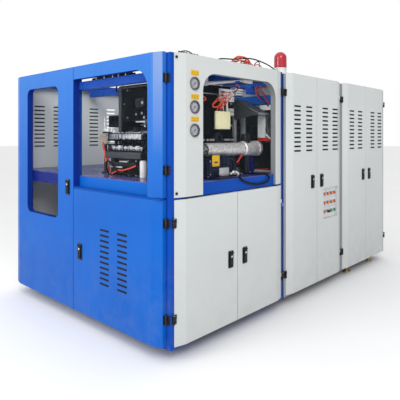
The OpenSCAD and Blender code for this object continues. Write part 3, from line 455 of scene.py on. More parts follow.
class Part:
    """Collects faces in corner-frame millimetres into one object with several materials."""

    def __init__(self):
        self.v, self.f, self.m, self.mats = [], [], [], []
        self.cur = 0

    def mat(self, m):
        if m not in self.mats:
            self.mats.append(m)
        self.cur = self.mats.index(m)
        return self

    def add(self, verts, faces):
        o = len(self.v)
        self.v += [tuple(p) for p in verts]
        self.f += [tuple(o + i for i in q) for q in faces]
        self.m += [self.cur] * len(faces)

    def box(self, x0, x1, y0, y1, z0, z1, b=1.0):
        """Box with chamfered edges of width b."""
        b = min(b, 0.45 * min(x1 - x0, y1 - y0, z1 - z0))
        bm = bmesh.new()
        bmesh.ops.create_cube(bm, size=1.0)
        for p in bm.verts:
            p.co = Vector(((x0 + x1) / 2 + p.co.x * (x1 - x0), (y0 + y1) / 2 + p.co.y * (y1 - y0), (z0 + z1) / 2 + p.co.z * (z1 - z0)))
        if b > 0:
            bmesh.ops.bevel(bm, geom=list(bm.edges), offset=b, segments=2, profile=0.6, affect="EDGES")
        bm.verts.index_update()
        self.add([p.co.copy() for p in bm.verts], [[q.index for q in f.verts] for f in bm.faces])
        bm.free()
        return self

    def revolve(self, c, axis, prof, seg=28):
        """Turns a profile [(radius, height)] round an axis through c; open ends are closed."""
        a, u, w = basis(axis)
        c = Vector(c)
        vs, fs = [], []
        rings = []
        for r, h in prof:
            if r < 1e-6:
                rings.append([len(vs)])
                vs.append(c + a * h)
            else:
                rings.append(list(range(len(vs), len(vs) + seg)))
                vs += [c + a * h + (u * math.cos(2 * math.pi * i / seg) + w * math.sin(2 * math.pi * i / seg)) * r for i in range(seg)]
        for p, q in zip(rings, rings[1:]):
            for i in range(seg):
                j = (i + 1) % seg
                if len(p) == 1 and len(q) == 1:
                    continue
                if len(p) == 1:
                    fs.append((p[0], q[j], q[i]))
                elif len(q) == 1:
                    fs.append((p[i], p[j], q[0]))
                else:
                    fs.append((p[i], p[j], q[j], q[i]))
        if len(rings[0]) > 1:
            fs.append(tuple(reversed(rings[0])))
        if len(rings[-1]) > 1:
            fs.append(tuple(rings[-1]))
        self.add(vs, fs)
        return self

    def ring(self, c, axis, prof, seg=28):
        """Turns a closed profile, with no end faces."""
        a, u, w = basis(axis)
        c = Vector(c)
        n = len(prof)
        vs = [c + a * h + (u * math.cos(2 * math.pi * i / seg) + w * math.sin(2 * math.pi * i / seg)) * r for r, h in prof for i in range(seg)]
        fs = [(k * seg + i, k * seg + (i + 1) % seg, ((k + 1) % n) * seg + (i + 1) % seg, ((k + 1) % n) * seg + i) for k in range(n) for i in range(seg)]
        self.add(vs, fs)
        return self

    def cyl(self, c, axis, r, h, b=0.8, seg=24):
        b = min(b, r * 0.4, h * 0.4)
        return self.revolve(c, axis, [(0, 0), (r - b, 0), (r, b), (r, h - b), (r - b, h), (0, h)], seg)

    def tube(self, pts, r, k=6, sides=12, radii=None, closed=False, raw=False):
        p = [Vector(q) for q in pts] if raw else smooth_path(pts, k, closed)
        n = len(p)
        tang = []
        for i in range(n):
            if closed:
                d = p[(i + 1) % n] - p[i - 1]
            else:
                d = p[min(i + 1, n - 1)] - p[max(i - 1, 0)]
            tang.append(d.normalized())
        nrm = basis(tang[0])[1]
        vs = []
        for i in range(n):
            t = tang[i]
            nrm = (nrm - t * nrm.dot(t)).normalized()
            bi = t.cross(nrm)
            rr = radii(i / max(n - 1, 1)) if radii else r
            for s in range(sides):
                a = 2 * math.pi * s / sides
                vs.append(p[i] + (nrm * math.cos(a) + bi * math.sin(a)) * rr)
        fs = []
        for i in range(n if closed else n - 1):
            j = (i + 1) % n
            for s in range(sides):
                s2 = (s + 1) % sides
                fs.append((i * sides + s, i * sides + s2, j * sides + s2, j * sides + s))
        if not closed:
            fs.append(tuple(reversed(range(sides))))
            fs.append(tuple(range((n - 1) * sides, n * sides)))
        self.add(vs, fs)
        return self

    def prism(self, outline, y0, y1, plane="xz", b=0.0):
        """Outline in x-z (or y-z, x-y) pulled from y0 to y1."""
        n = len(outline)
        put = {"xz": lambda p, d: (p[0], d, p[1]), "yz": lambda p, d: (d, p[0], p[1]), "xy": lambda p, d: (p[0], p[1], d)}[plane]
        vs = [put(p, y0) for p in outline] + [put(p, y1) for p in outline]
        fs = [tuple(range(n)), tuple(reversed(range(n, 2 * n)))] + [(i, n + i, n + (i + 1) % n, (i + 1) % n) for i in range(n)]
        self.add(vs, fs)
        return self

    def bolt(self, c, axis, r=6, h=4, hexagon=True):
        if hexagon:
            self.revolve(c, axis, [(0, 0), (r, 0), (r, h * 0.8), (r * 0.86, h), (0, h)], 6)
            self.cyl(c, axis, r * 1.35, 1.2, 0.3, 18)
        else:
            self.revolve(c, axis, [(0, 0), (r, 0), (r, h * 0.5), (r * 0.75, h * 0.9), (r * 0.45, h), (r * 0.42, h * 0.55), (0, h * 0.55)], 18)
        return self

    def done(self, name, body, angle=38, replaces=(), slot=None):
        me = bpy.data.meshes.new(name)
        me.from_pydata([tuple(C(*p)) for p in self.v], [], self.f)
        for m in self.mats:
            me.materials.append(m)
        me.polygons.foreach_set("material_index", self.m)
        bm = bmesh.new()
        bm.from_mesh(me)
        bmesh.ops.recalc_face_normals(bm, faces=bm.faces)
        bm.to_mesh(me)
        bm.free()
        me.polygons.foreach_set("use_smooth", [True] * len(me.polygons))
        me.set_sharp_from_angle(angle=math.radians(angle))
        o = link(bpy.data.objects.new(name, me))
        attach(o, body)
        if replaces:
            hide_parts(*replaces)
        return o


NX, NY, NZ = (1, 0, 0), (0, 1, 0), (0, 0, 1)


def rr_outline(x0, x1, z0, z1, r, n=6):
    """Rounded rectangle outline, counter-clockwise."""
    out = []
    for cx, cz, a0 in ((x1 - r, z1 - r, 0), (x0 + r, z1 - r, 90), (x0 + r, z0 + r, 180), (x1 - r, z0 + r, 270)):
        for i in range(n + 1):
            a = math.radians(a0 + 90 * i / n)
            out.append((cx + r * math.cos(a), cz + r * math.sin(a)))
    return out


def shell_plate(P, outline, y_out, y_in, c=1.0, swap=False, hole=None):
    """Plate with a chamfered outer face; outline in (x, z), or (y, z) when swap."""
    cx = sum(p[0] for p in outline) / len(outline)
    cz = sum(p[1] for p in outline) / len(outline)
    hw = max(abs(p[0] - cx) for p in outline)
    hh = max(abs(p[1] - cz) for p in outline)
    inner = [(cx + (p[0] - cx) * (hw - c) / hw, cz + (p[1] - cz) * (hh - c) / hh) for p in outline]
    s = 1 if y_in > y_out else -1
    n = len(outline)
    rows = [(inner, y_out), (outline, y_out + s * c), (outline, y_in)]
    vs = [((d, p[0], p[1]) if swap else (p[0], d, p[1])) for o, d in rows for p in o]
    fs = [tuple(range(n)), tuple(reversed(range(2 * n, 3 * n)))]
    for k in (0, n):
        fs += [(k + i, k + n + i, k + n + (i + 1) % n, k + (i + 1) % n) for i in range(n)]
    P.add(vs, fs)


# ------------------------------------------------------------------ hinges
HT, HU, HL = (282, 1845), (1250, 1850), (282, 905)
SLEEVE_B = [(0, 31.2), (5.5, 31.2), (8.35, 28.8), (8.35, 0.8), (4.3, 0.8)]
SLEEVE_W = [(0, 31.2), (4.6, 31.2), (7.4, 28.8), (7.4, 0.8), (4.3, 0.8)]


def sleeve(P, x, y, z, prof):
    P.mat(M["hinge"]).revolve((x, y, z), NZ, list(reversed(prof)), 24)


def blue_hinge(P, y, z, side):
    """Door half of a hinge at a blue door's edge; side is the direction of the door along y."""
    sleeve(P, 42, y, z, SLEEVE_B)
    e = y + side * 10.3
    P.box(26, 54, min(e, e + side * 2.7), max(e, e + side * 2.7), z - 30, z + 30, 0.9)
    P.box(37.4, 46.6, min(y + side * 5, e + side), max(y + side * 5, e + side), z + 0.8, z + 30.2, 0.5)
    for dz in (-19, 19):
        P.bolt((33, e, z + dz), (0, -side, 0), 4.2, 2.0, False)


def white_hinge(P, x, z, side, reach=16):
    """Door half at a white door's edge; side is the direction of the door along x."""
    sleeve(P, x, 12, z, SLEEVE_W)
    a, b = sorted((x + side * 3, x + side * reach))
    P.box(a, b, 12.5, 19.5, z + 0.7, z + 30.3, 0.7)


for door, body, items in (
        ("tall_hinges", "tall_leaf", [(2110, z, -1) for z in HT]),
        ("upper_blue_hinges", "upper_blue_leaf", [(50, z, 1) for z in HU]),
        ("lower_blue_hinges", "lower_blue_leaf", [(50, z, 1) for z in HL])):
    P = Part()
    for y, z, s in items:
        blue_hinge(P, y, z, s)
    P.done(door, body, slot="black_metal")

P = Part()
for z in HL:
    white_hinge(P, 79, z, 1, 25)
    P.box(87.4, 104, 14.0, 19.4, z - 30, z - 0.4, 0.8)
    for dz in (-20, 18):
        P.bolt((96, 14.0 if dz < 0 else 12.5, z + dz), (0, -1, 0), 3.6, 1.8, False)
P.done("white_left_hinges", "white_leaf_left", slot="black_metal")
P = Part()
white_hinge(P, 1347, 282, -1)
P.done("white_right_hinge", "white_leaf_right", slot="black_metal")
for nm, body, x, s in (("oven_left_hinges", "oven_leaf_left", 1403, 1), ("oven_right_hinges", "oven_leaf_right", 2431, -1),
                       ("electrical_left_hinges", "electrical_leaf_left", 2470, 1), ("electrical_right_hinges", "electrical_leaf_right", 3565, -1)):
    P = Part()
    for z in HT:
        white_hinge(P, x, z, s)
    P.done(nm, body, slot="black_metal")
P = Part().mat(M["hinge"])
for z in HT:
    P.box(1338.5, 1394.5, 15.5, 20.7, z - 30, z + 30, 1.2)
    P.box(2439.6, 2461.4, 15.5, 20.7, z - 30, z + 30, 1.2)
    for x in (1348, 1372):
        for dz in (-18, 18):
            P.bolt((x, 15.5, z + dz), (0, -1, 0), 4.2, 2.2, False)
    for dz in (-18, 18):
        P.bolt((2450.5, 15.5, z + dz), (0, -1, 0), 4.2, 2.2, False)
P.done("hinge_covers", "machine", slot="black_metal")

# ------------------------------------------------------------------ latches
def latch(name, door_body, lever_body, u, z, blue):
    """Black housing on the door, key cylinder and rib on the lever."""
    def pt(a, d, c):                                   # across, depth, height
        return (d, u - a, z + c) if blue else (u + a, d, z + c)

    def bx(P, a0, a1, d0, d1, c0, c1, b):
        if blue:
            P.box(d0, d1, u - a1, u - a0, z + c0, z + c1, b)
        else:
            P.box(u + a0, u + a1, d0, d1, z + c0, z + c1, b)
    P = Part().mat(M["latch"])
    o = rr_outline(-28.5, 28.5, -62.5, 62.5, 9)
    oo = [((u - a) if blue else (u + a), z + c) for a, c in o]
    shell_plate(P, oo, -4.9, -0.05, 1.4, swap=blue)
    for s in (-1, 1):
        bx(P, min(s * 20.3, s * 26), max(s * 20.3, s * 26), -11.4, -4.6, 40.4, 51.6, 1.4)
    P.mat(M["chrome"])
    for c in (-56.5, 57):
        P.bolt(pt(0, -4.9, c), (-1, 0, 0) if blue else (0, -1, 0), 2.6, 1.1, False)
    P.done(name + "_housing", door_body, slot="latch_black")
    Q = Part().mat(M["latch"])
    o = rr_outline(-18.4, 18.4, -54.4, 48.4, 7.5)
    oo = [((u - a) if blue else (u + a), z + c) for a, c in o]
    shell_plate(Q, oo, -12.9, -7.4, 2.0, swap=blue)
    for i in range(4):
        bx(Q, -12, 12, -13.6, -12.6, -50 + i * 5, -47.6 + i * 5, 0.5)
    Q.mat(M["chrome"]).revolve(pt(0, -12.8, 22), (-1, 0, 0) if blue else (0, -1, 0), [(0, 0), (8.2, 0), (8.2, 0.5), (7.4, 1.1), (6.6, 1.1), (6.3, 0.5), (0, 0.5)], 28)
    Q.mat(M["print"])
    bx(Q, -0.8, 0.8, -13.6, -13.2, 18.4, 25.6, 0.1)
    Q.done(name + "_trim", lever_body, slot="latch_black")


latch("latch_tall", "tall_leaf", "lever_tall", 1168, 1062, True)
latch("latch_lower_blue", "lower_blue_leaf", "lever_lower_blue", 990, 572, True)
latch("latch_white_left", "white_leaf_left", "lever_white_left", 640, 568, False)
latch("latch_white_right", "white_leaf_right", "lever_white_right", 808, 568, False)
latch("latch_oven_left", "oven_leaf_left", "lever_oven_left", 1834, 1050, False)
latch("latch_oven_right", "oven_leaf_right", "lever_oven_right", 2004, 1050, False)
latch("latch_electrical_left", "electrical_leaf_left", "lever_electrical_left", 2938, 1050, False)
latch("latch_electrical_right", "electrical_leaf_right", "lever_electrical_right", 3098, 1050, False)

# ------------------------------------------------------------------ filter mats behind the vents
def pads(name, body, spans, z0, z1, d0, d1, axis):
    P = Part().mat(M["pad"])
    for a, b in spans:
        lo, hi = min(d0, d1), max(d0, d1)
        if axis == "x":
            P.box(lo, hi, a, b, z0, z1, 0.6)
        else:
            P.box(a, b, lo, hi, z0, z1, 0.6)
    P.mat(M["steel"])
    for a, b in spans:
        for q in (a + 5, b - 5):
            for zz in (z0 + 6, z1 - 6):
                c = (d1, q, zz) if axis == "x" else (q, d1, zz)
                s = 1 if d1 > d0 else -1
                P.bolt(c, (s, 0, 0) if axis == "x" else (0, s, 0), 3.4, 2, False)
    P.done(name, body, slot="black_metal")


pads("vent_mats_lower_blue", "lower_blue_leaf", [(c - 72, c + 72) for c in (669, 458)], 362, 801, 3.0, 6.5, "x")
for nm, body, cols in (("oven_left", "oven_leaf_left", (1573, 1776)), ("oven_right", "oven_leaf_right", (2080, 2282)),
                       ("electrical_left", "electrical_leaf_left", (2664, 2868)), ("electrical_right", "electrical_leaf_right", (3200, 3400))):
    pads("vent_mats_" + nm, body, [(c - 72, c + 72) for c in cols], 1318, 1757, 3.0, 6.5, "y")


def infills(name, cols, z0, along, d0, d1, length, skip=()):
    """Thin dark gauze in each slot of a fixed panel."""
    P = Part().mat(M["pad"])
    for c in cols:
        for i in range(11):
            if (c, i) in skip:
                continue
            o = rr_outline(c - length / 2 + 0.4, c + length / 2 - 0.4, z0 + i * 39.5 - 7.6, z0 + i * 39.5 + 7.6, 7.5, 6)
            shell_plate(P, o, d0, d1, 0.1, swap=along)
    P.done(name, "machine", slot="black_metal")


infills("vent_gauze_rear", (273, 480, 906), 1370, False, 2158.3, 2158.9, 114)
infills("vent_gauze_back", (1655, 2180, 2740, 3295), 1340, False, 2158.3, 2158.9, 114)
infills("vent_gauze_far_end", (560, 1600), 1370, True, 3566.2, 3566.8, 228)

# ------------------------------------------------------------------ gauges and their labels
def digits(P, text, x, y, z, size):
    """Plain numbers on a dial, facing -Y."""
    cu = bpy.data.curves.new("digits", "FONT")
    cu.body = text
    cu.size = size
    cu.align_x, cu.align_y = "CENTER", "CENTER"
    cu.resolution_u = 2
    ob = bpy.data.objects.new("digits", cu)
    me = ob.to_mesh()
    vs = [(x + v.co.x, y, z + v.co.y) for v in me.vertices]
    fs = [tuple(p.vertices) for p in me.polygons]
    P.add(vs, fs)
    ob.to_mesh_clear()
    bpy.data.objects.remove(ob)
    bpy.data.curves.remove(cu)


P = Part()
for gz in (1825, 1667, 1510):
    P.mat(M["bezel"]).ring((256, 0, gz), (0, -1, 0), [(40.6, 6), (40.6, 10.6), (42.2, 11.8), (44.2, 10.8), (45.4, 7.5), (45.4, 1.5), (44.2, 0.02), (41, 0.02)], 56)
    P.mat(M["dial"]).revolve((256, 0.9, gz), (0, -1, 0), [(33.6, 0), (33.6, 0.25), (0, 0.25)], 48)
    P.mat(M["print"])
    for i in range(31):
        a = math.radians(225 - i * 9)
        big = i % 5 == 0
        r0, r1, w = (23.5 if big else 27), 31, (0.9 if big else 0.45)
        d = Vector((math.cos(a), 0, math.sin(a)))
        n = Vector((-d.z, 0, d.x)) * w
        o = Vector((256, 0.5, gz))
        P.add([o + d * r0 - n, o + d * r1 - n, o + d * r1 + n, o + d * r0 + n], [(0, 1, 2, 3)])
    for i, t in enumerate(("0", "1", "2", "3", "4", "5", "6")):
        a = math.radians(225 - i * 45)
        digits(P, t, 256 + 18 * math.cos(a), 0.45, gz + 18 * math.sin(a), 8.5)
    P.ring((256, 0.55, gz), (0, -1, 0), [(31.2, 0), (31.2, 0.12), (31.9, 0.12), (31.9, 0)], 48)
    P.mat(M["brass"]).revolve((256, 62, gz), NY, [(0, 0), (7, 0), (7, 12), (9, 13), (9, 24), (5.5, 25), (5.5, 40), (0, 40)], 20)
P.done("gauge_trim", "machine", slot="zinc")

P = Part()
for lz in (1898, 1737, 1586):
    P.mat(M["amber"])
    shell_plate(P, rr_outline(219.5, 300.5, lz - 17.5, lz + 17.5, 2.5, 4), -0.65, -0.02, 0.3)
    P.mat(M["yellow"])
    shell_plate(P, rr_outline(221, 299, lz - 16, lz + 16, 2, 4), -0.95, -0.5, 0.2)
    P.mat(M["mark"])
    for x in (238, 260, 284):                                    # generic pictogram blocks and a rule
        shell_plate(P, rr_outline(x - 4.5, x + 4.5, lz - 3, lz + 10, 2.5, 4), -1.1, -0.9, 0.1)
    shell_plate(P, rr_outline(229, 292, lz - 11.5, lz - 8, 1, 3), -1.1, -0.9, 0.1)
P.done("gauge_labels", "machine", slot="plate_silver")

# ------------------------------------------------------------------ foil duct
def duct_path():
    pts = []
    z = 1160.0
    while z < 1275:
        pts.append(Vector((455, 235, z)))
        z += 2.5
    n = 58
    for i in range(n + 1):
        a = math.pi - (math.pi / 2) * i / n
        pts.append(Vector((545 + 90 * math.cos(a), 235, 1275 + 90 * math.sin(a))))
    x = 547.5
    while x < 1297:
        pts.append(Vector((x, 235, 1365)))
        x += 2.5
    return pts


def duct_skin():
    pts = duct_path()
    sides = 56
    vs, fs = [], []
    run = 0.0
    n = len(pts)
    for i, p in enumerate(pts):
        t = (pts[min(i + 1, n - 1)] - pts[max(i - 1, 0)]).normalized()
        if i:
            run += (p - pts[i - 1]).length
        nrm = Vector((0, -1, 0))
        bi = t.cross(nrm)
        bag = 0.0
        if p.x > 1062 and p.z > 1300:                      # foil wrapped over the clamp ring and the end flange
            bag = 13.4 * min(1, (p.x - 1062) / 11)
            if p.x > 1130:
                bag -= min(3.4, (p.x - 1130) * 0.12)
            if p.x > 1256:
                bag = 15.6
            if p.x > 1284:
                bag -= (p.x - 1284) * 2.6
        pinch = 0.0
        if 1040 < p.x < 1075 and p.z > 1300:
            pinch = -0.6
        for s in range(sides):
            a = 2 * math.pi * s / sides
            d = nrm * math.cos(a) + bi * math.sin(a)
            q = Vector((p.x * 0.017, p.z * 0.017, a * 1.9))
            cr = noise.noise(q) * 1.9 + noise.noise(Vector((p.x * 0.06, p.z * 0.06, a * 6.0))) * 1.1
            rib = 1.15 * abs(math.sin(math.pi * run / 11.0 + 0.35 * math.sin(3 * a)))
            facet = (1.6 * abs(math.sin(4 * a + run * 0.015))) if bag > 4 else 0
            r = 51.4 + rib * (0.35 if bag > 4 else 1) + cr * 0.62 + bag + pinch - facet
            vs.append(p + d * max(r, 50.35 if p.x < 1285 else 18))
    for i in range(n - 1):
        for s in range(sides):
            s2 = (s + 1) % sides
            fs.append((i * sides + s, i * sides + s2, (i + 1) * sides + s2, (i + 1) * sides + s))
    fs.append(tuple(reversed(range(sides))))
    fs.append(tuple(range((n - 1) * sides, n * sides)))
    return vs, fs


P = Part().mat(M["foil"])
v, f = duct_skin()
P.add(v, f)
for x, r in ((1046, 53.2),):                     # foil tape bands
    P.ring((x, 235, 1365), NX, [(r, -9), (r + 1.8, -8), (r + 2.1, 0), (r + 1.8, 8), (r, 9)], 56)
P.mat(M["steel"])
for x in (1058,):
    P.ring((x, 235, 1365), NX, [(53.4, -4), (54.8, -4), (54.8, 4), (53.4, 4)], 56)
    P.box(x - 5, x + 5, 226, 244, 1418, 1427, 1)
P.done("foil_duct", "machine", slot="foil")

P = Part().mat(M["charcoal"])
P.box(1094, 1136, 196, 262, 1424, 1488, 2)                    # upright above the clamp ring
P.box(1096, 1134, 192, 197, 1396, 1470, 1.2)
P.box(1080, 1132, 205, 209.4, 1170, 1306, 0.8)
for zz in (1444, 1470):
    P.mat(M["steel"]).bolt((1100, 214, zz), (0, -1, 0), 6, 4)
P.mat(M["charcoal"])
for sx in (1066, 1134):
    for sy in (196, 274):
        P.mat(M["steel"]).bolt((sx, sy, 1166), NZ, 5, 4)
P.done("duct_stand_trim", "machine", slot="black_metal")

# ------------------------------------------------------------------ control units
CX = [2091 + 68.3 * i for i in range(4)]
CZ = [908, 822, 736]
P = Part()
for z in CZ:
    for x in CX:
        P.mat(M["holder"]).ring((x, 12.2, z), (0, -1, 0), [(11.3, 0), (11.3, 2.6), (12.4, 3.6), (14.2, 3.2), (15.4, 1.6), (15.4, 0)], 32)
        P.mat(M["white_pl"])
        shell_plate(P, rr_outline(x - 14, x + 14, z + 20, z + 31, 1.5, 3), 17.2, 17.95, 0.25)
P.mat(M["steel"])
for x in (2055, 2332):
    for z in (683, 960):
        P.bolt((x, 18, z), (0, -1, 0), 4, 2, False)
P.done("control_trim", "oven_leaf_right", slot="holder_gray")

P = Part()
lens = [(0, 13.2), (4.5, 12.4), (8, 10.2), (10.2, 6.6), (11.0, 2.4), (11.0, 0)]
LAMPS = [(CX[i], CZ[j]) for j in (0, 1) for i in range(4)] + [(CX[0], CZ[2])]
for x, z in LAMPS:
    P.mat(M["lamp"]).revolve((x, 9.0, z), (0, -1, 0), [(r, h) for r, h in reversed(lens)], 32)
    for rr, hh in ((10.5, 5.4), (9.2, 8.9)):
        P.ring((x, 9.0, z), (0, -1, 0), [(rr - 0.3, hh), (rr + 0.35, hh - 0.2), (rr + 0.1, hh + 0.6)], 32)
P.done("lamp_domes", "oven_leaf_right", slot="lamp_orange")
for nm, body, x in (("button_cap_1", "push_1", CX[2]), ("button_cap_2", "push_2", CX[3])):
    P = Part().mat(M["green"])
    P.revolve((x, 4.4, CZ[2]), (0, -1, 0), [(10.7, -2), (10.7, 3.2), (9.8, 4.6), (7.8, 4.9), (6.6, 4.3), (0, 4.1)], 32)
    P.done(nm, body, slot="button_green")
P = Part().mat(M["latch"])
P.revolve((CX[1], 3.4, CZ[2]), (0, -1, 0), [(10.7, -2), (10.7, 2.2), (9.6, 3.4), (0, 3.4)], 32)
P.box(CX[1] - 4, CX[1] + 4, -9.0, 1.5, CZ[2] - 10.4, CZ[2] + 10.4, 1.6)
P.mat(M["white_pl"]).box(CX[1] - 0.8, CX[1] + 0.8, -9.4, -8.6, CZ[2] + 2, CZ[2] + 10, 0.2)
P.done("selector_trim", "selector", slot="latch_black")

# ------------------------------------------------------------------ beacon
P = Part().mat(M["dome"])
for i in range(10):
    P.ring((1450, 100, 2071.5 + i * 8.6), NZ, [(54.9, -1.5), (56.1, 0), (54.9, 1.5)], 56)
for i in range(1, 5):
    a = math.radians(i * 17)
    P.ring((1450, 100, 2154 + 55 * math.sin(a)), NZ, [(55 * math.cos(a) - 0.4, -1), (55 * math.cos(a) + 0.7, 0.3), (55 * math.cos(a) - 0.9, 1.3)], 56)
P.done("beacon_ribs", "machine", slot="red_lens")
P = Part().mat(M["white_pl"])
P.ring((1450, 100, 2012), NZ, [(52, 40), (53.6, 41), (53.6, 43), (52, 43.8)], 56)
P.ring((1450, 100, 2012), NZ, [(52, 12), (55, 12.6), (54.4, 15), (52, 16)], 56)
for a in (40, 160, 280):
    c = (1450 + 58.5 * math.cos(math.radians(a)), 100 + 58.5 * math.sin(math.radians(a)), 2024)
    P.mat(M["steel"]).bolt(c, NZ, 4, 3)
P.mat(M["rubber"]).revolve((1398.5, 100, 2038), (-1, 0, 0), [(9.5, 0), (9.5, 5), (7.5, 6), (7.5, 12), (0, 12)], 20)
P.mat(M["white_pl"]).revolve((1450, 100, 2090.4), NZ, [(3.8, 0), (6, 3), (6, 6), (8.6, 9), (9.4, 22), (6, 31), (0, 34)], 28)
P.done("beacon_trim", "machine", slot="white_plastic")

# ------------------------------------------------------------------ cables and hoses of the CAD node, and finer ones beside them
CABLE_1 = [[560, 70, 2012.5], [566, 68, 2028], [600, 60, 2041], [680, 50, 2048], [752, 49, 2054], [902, 49, 2079], [999, 52, 2084], [1100, 58, 2078], [1205, 66, 2066], [1300, 76, 2047], [1352, 90, 2034], [1397, 100, 2038]]
HOSE_1 = [[730, 66, 2011], [742, 66, 2046], [790, 64, 2080], [838, 62, 2088], [890, 62, 2082], [918, 64, 2050], [926, 66, 2011]]
HOSE_2 = [[870, 260.5, 1830], [870, 254, 1830], [864, 244, 1827], [840, 238, 1815], [796, 240, 1788], [742, 246, 1742], [724, 252, 1716], [752, 256, 1702], [806, 262, 1714], [840, 274, 1738]]
HOSE_3 = [[930, 260.5, 1830], [930, 254, 1830], [924, 242, 1828], [902, 222, 1816], [866, 212, 1796], [816, 212, 1770], [788, 222, 1730], [786, 246, 1700], [790, 262, 1684], [790, 262, 1671.5]]
CABLE_2 = [[882, 215, 1200], [905, 215, 1199], [930, 165, 1180], [885, 95, 1166], [778, 30, 1168], [766, 12, 1158], [790, 9, 1138], [860, 9, 1112], [950, 9, 1095], [1040, 9, 1091], [1115, 9, 1102], [1148, 9, 1124], [1138, 10, 1147], [1118, 16, 1163], [1100, 34, 1168], [1075, 90, 1165.5], [1060, 150, 1165.5]]
P = Part()
P.mat(M["rubber"]).tube(CABLE_1, 5, 8, 14)
P.tube(CABLE_2, 8, 8, 16)
P.mat(M["orange_hose"]).tube(HOSE_1, 5, 8, 14).tube(HOSE_2, 5, 8, 14).tube(HOSE_3, 5, 8, 14)
P.done("cables_and_hoses", "machine", replaces=("hoses_and_cables",), slot="hose_rubber")

P = Part()
om = M["orange_hose"]
P.mat(om)
P.tube([(744, 78, 2008), (752, 78, 2040), (782, 74, 2066), (846, 72, 2083), (912, 70, 2086), (962, 72, 2070), (984, 76, 2044), (990, 80, 2008)], 4, 8, 12)
P.tube([(760, 88, 2008), (772, 88, 2034), (820, 84, 2052), (900, 82, 2062), (980, 84, 2058), (1034, 86, 2038), (1046, 88, 2008)], 4, 8, 12)
P.tube([(812, 94, 2008), (838, 92, 2036), (912, 90, 2044), (978, 92, 2036), (1006, 94, 2008)], 4, 8, 12)
P.tube([(772, 72, 2008), (786, 70, 2034), (828, 66, 2072), (880, 64, 2090), (930, 66, 2076), (956, 70, 2042), (960, 74, 2008)], 5, 8, 12)
P.tube([(836, 84, 2008), (850, 82, 2030), (884, 78, 2060), (930, 78, 2064), (966, 82, 2046), (976, 86, 2008)], 5, 8, 12)
P.tube([(756, 66, 2008), (764, 66, 2026), (800, 62, 2046), (860, 62, 2058), (916, 64, 2044), (934, 66, 2008)], 4.6, 8, 12)
P.mat(M["pink_hose"])
P.tube([(1004, 70, 2008), (1016, 68, 2034), (1060, 64, 2050), (1108, 66, 2044), (1132, 72, 2026), (1136, 74, 2008)], 4, 8, 12)
P.mat(M["rubber"])
P.tube([(1030, 92, 2008), (1046, 88, 2044), (1078, 84, 2076), (1112, 86, 2078), (1124, 92, 2050), (1128, 96, 2008)], 3.6, 8, 12)
P.tube([(700, 96, 2008), (712, 92, 2030), (790, 84, 2050), (880, 80, 2058), (930, 84, 2036), (940, 90, 2008)], 4, 8, 12)
# unions the hoses end in, on the top rail
for x, y in ((744, 78), (990, 80), (760, 88), (1046, 88), (812, 94), (1006, 94), (1004, 70), (1136, 74), (1030, 92), (1128, 96), (700, 96), (940, 90), (730, 66), (926, 66), (560, 70)):
    P.mat(M["rubber"]).revolve((x, y, 2009.5), NZ, [(0, 0), (8.5, 0), (8.5, 6), (6.5, 8), (6.5, 13), (4.5, 15), (0, 15)], 16)
P.mat(M["steel"])
P.box(1040, 1100, 86, 112, 2010, 2034, 2)
P.mat(M["latch"])
for x in (206, 228, 252, 276, 330, 356, 384):
    P.revolve((x, 96, 2009.5), NZ, [(0, 0), (9, 0), (9, 10), (6, 12), (6, 24), (8, 26), (8, 38), (4, 41), (0, 41)], 18)
P.box(196, 400, 84, 108, 2010, 2020, 1.5)
P.mat(M["red_hose"]).revolve((303, 96, 2020), NZ, [(0, 0), (9, 0), (9, 26), (0, 28)], 14)
P.revolve((240, 96, 2020), NZ, [(0, 0), (7, 0), (7, 18), (0, 20)], 14)
P.mat(M["rubber"]).tube([(196, 92, 2016), (214, 88, 2044), (262, 86, 2056), (318, 88, 2046), (340, 92, 2018)], 4, 8, 12)
P.done("top_rail_hoses", "machine", slot="hose_rubber")

# ------------------------------------------------------------------ valve plate, junction box and tubes
P = Part()
# valve plate in the whiter copy of the white plastic: painted light
P.mat(M["bright_pl"]).box(852, 1038, 288, 300, 1757, 1858, 1.5)
P.mat(M["charcoal"]).box(790, 902, 256.4, 300, 1556, 1646, 3)
P.mat(M["cream"])
P.box(752, 932, 248, 256, 1527, 1670.6, 2.5)
P.box(753.5, 930.5, 240, 247.4, 1528.5, 1669.2, 3)
P.mat(M["holder"]).box(754, 930, 247, 248.4, 1529, 1668.8, 0.3)
for x in (768, 924):
    for z in (1544, 1658):
        P.mat(M["beige"]).revolve((x, 240.2, z), (0, -1, 0), [(5, 0), (4.6, 0.9), (0, 0.9)], 18)
P.mat(M["gray_hose"]).box(940, 1010, 270, 300, 1640, 1700, 2)
P.box(946, 1004, 262, 270.5, 1646, 1694, 1.5)
for i in range(3):
    P.mat(M["holder"]).revolve((958 + i * 17, 262.4, 1670), (0, -1, 0), [(0, 0), (5.4, 0), (5.4, 4), (4, 5), (0, 5)], 16)
# three tubes with their unions
for x, m in ((846, "orange_hose"), (880, "gray_hose"), (928, "white_pl")):
    r = 7.5 if x < 900 else 9.5
    P.mat(M[m]).tube([(x, 276, 1668), (x, 276, 1690), (x - 1, 276, 1712), (x, 276, 1740), (x, 276, 1766)], r, 5, 16)
    for z in (1669, 1752):
        P.mat(M["brass" if x < 900 else "white_pl"]).revolve((x, 276, z), NZ, [(r - 1, 0), (r + 3.5, 0), (r + 3.5, 9), (r + 1, 12), (r - 1, 12)], 6 if x < 900 else 20)
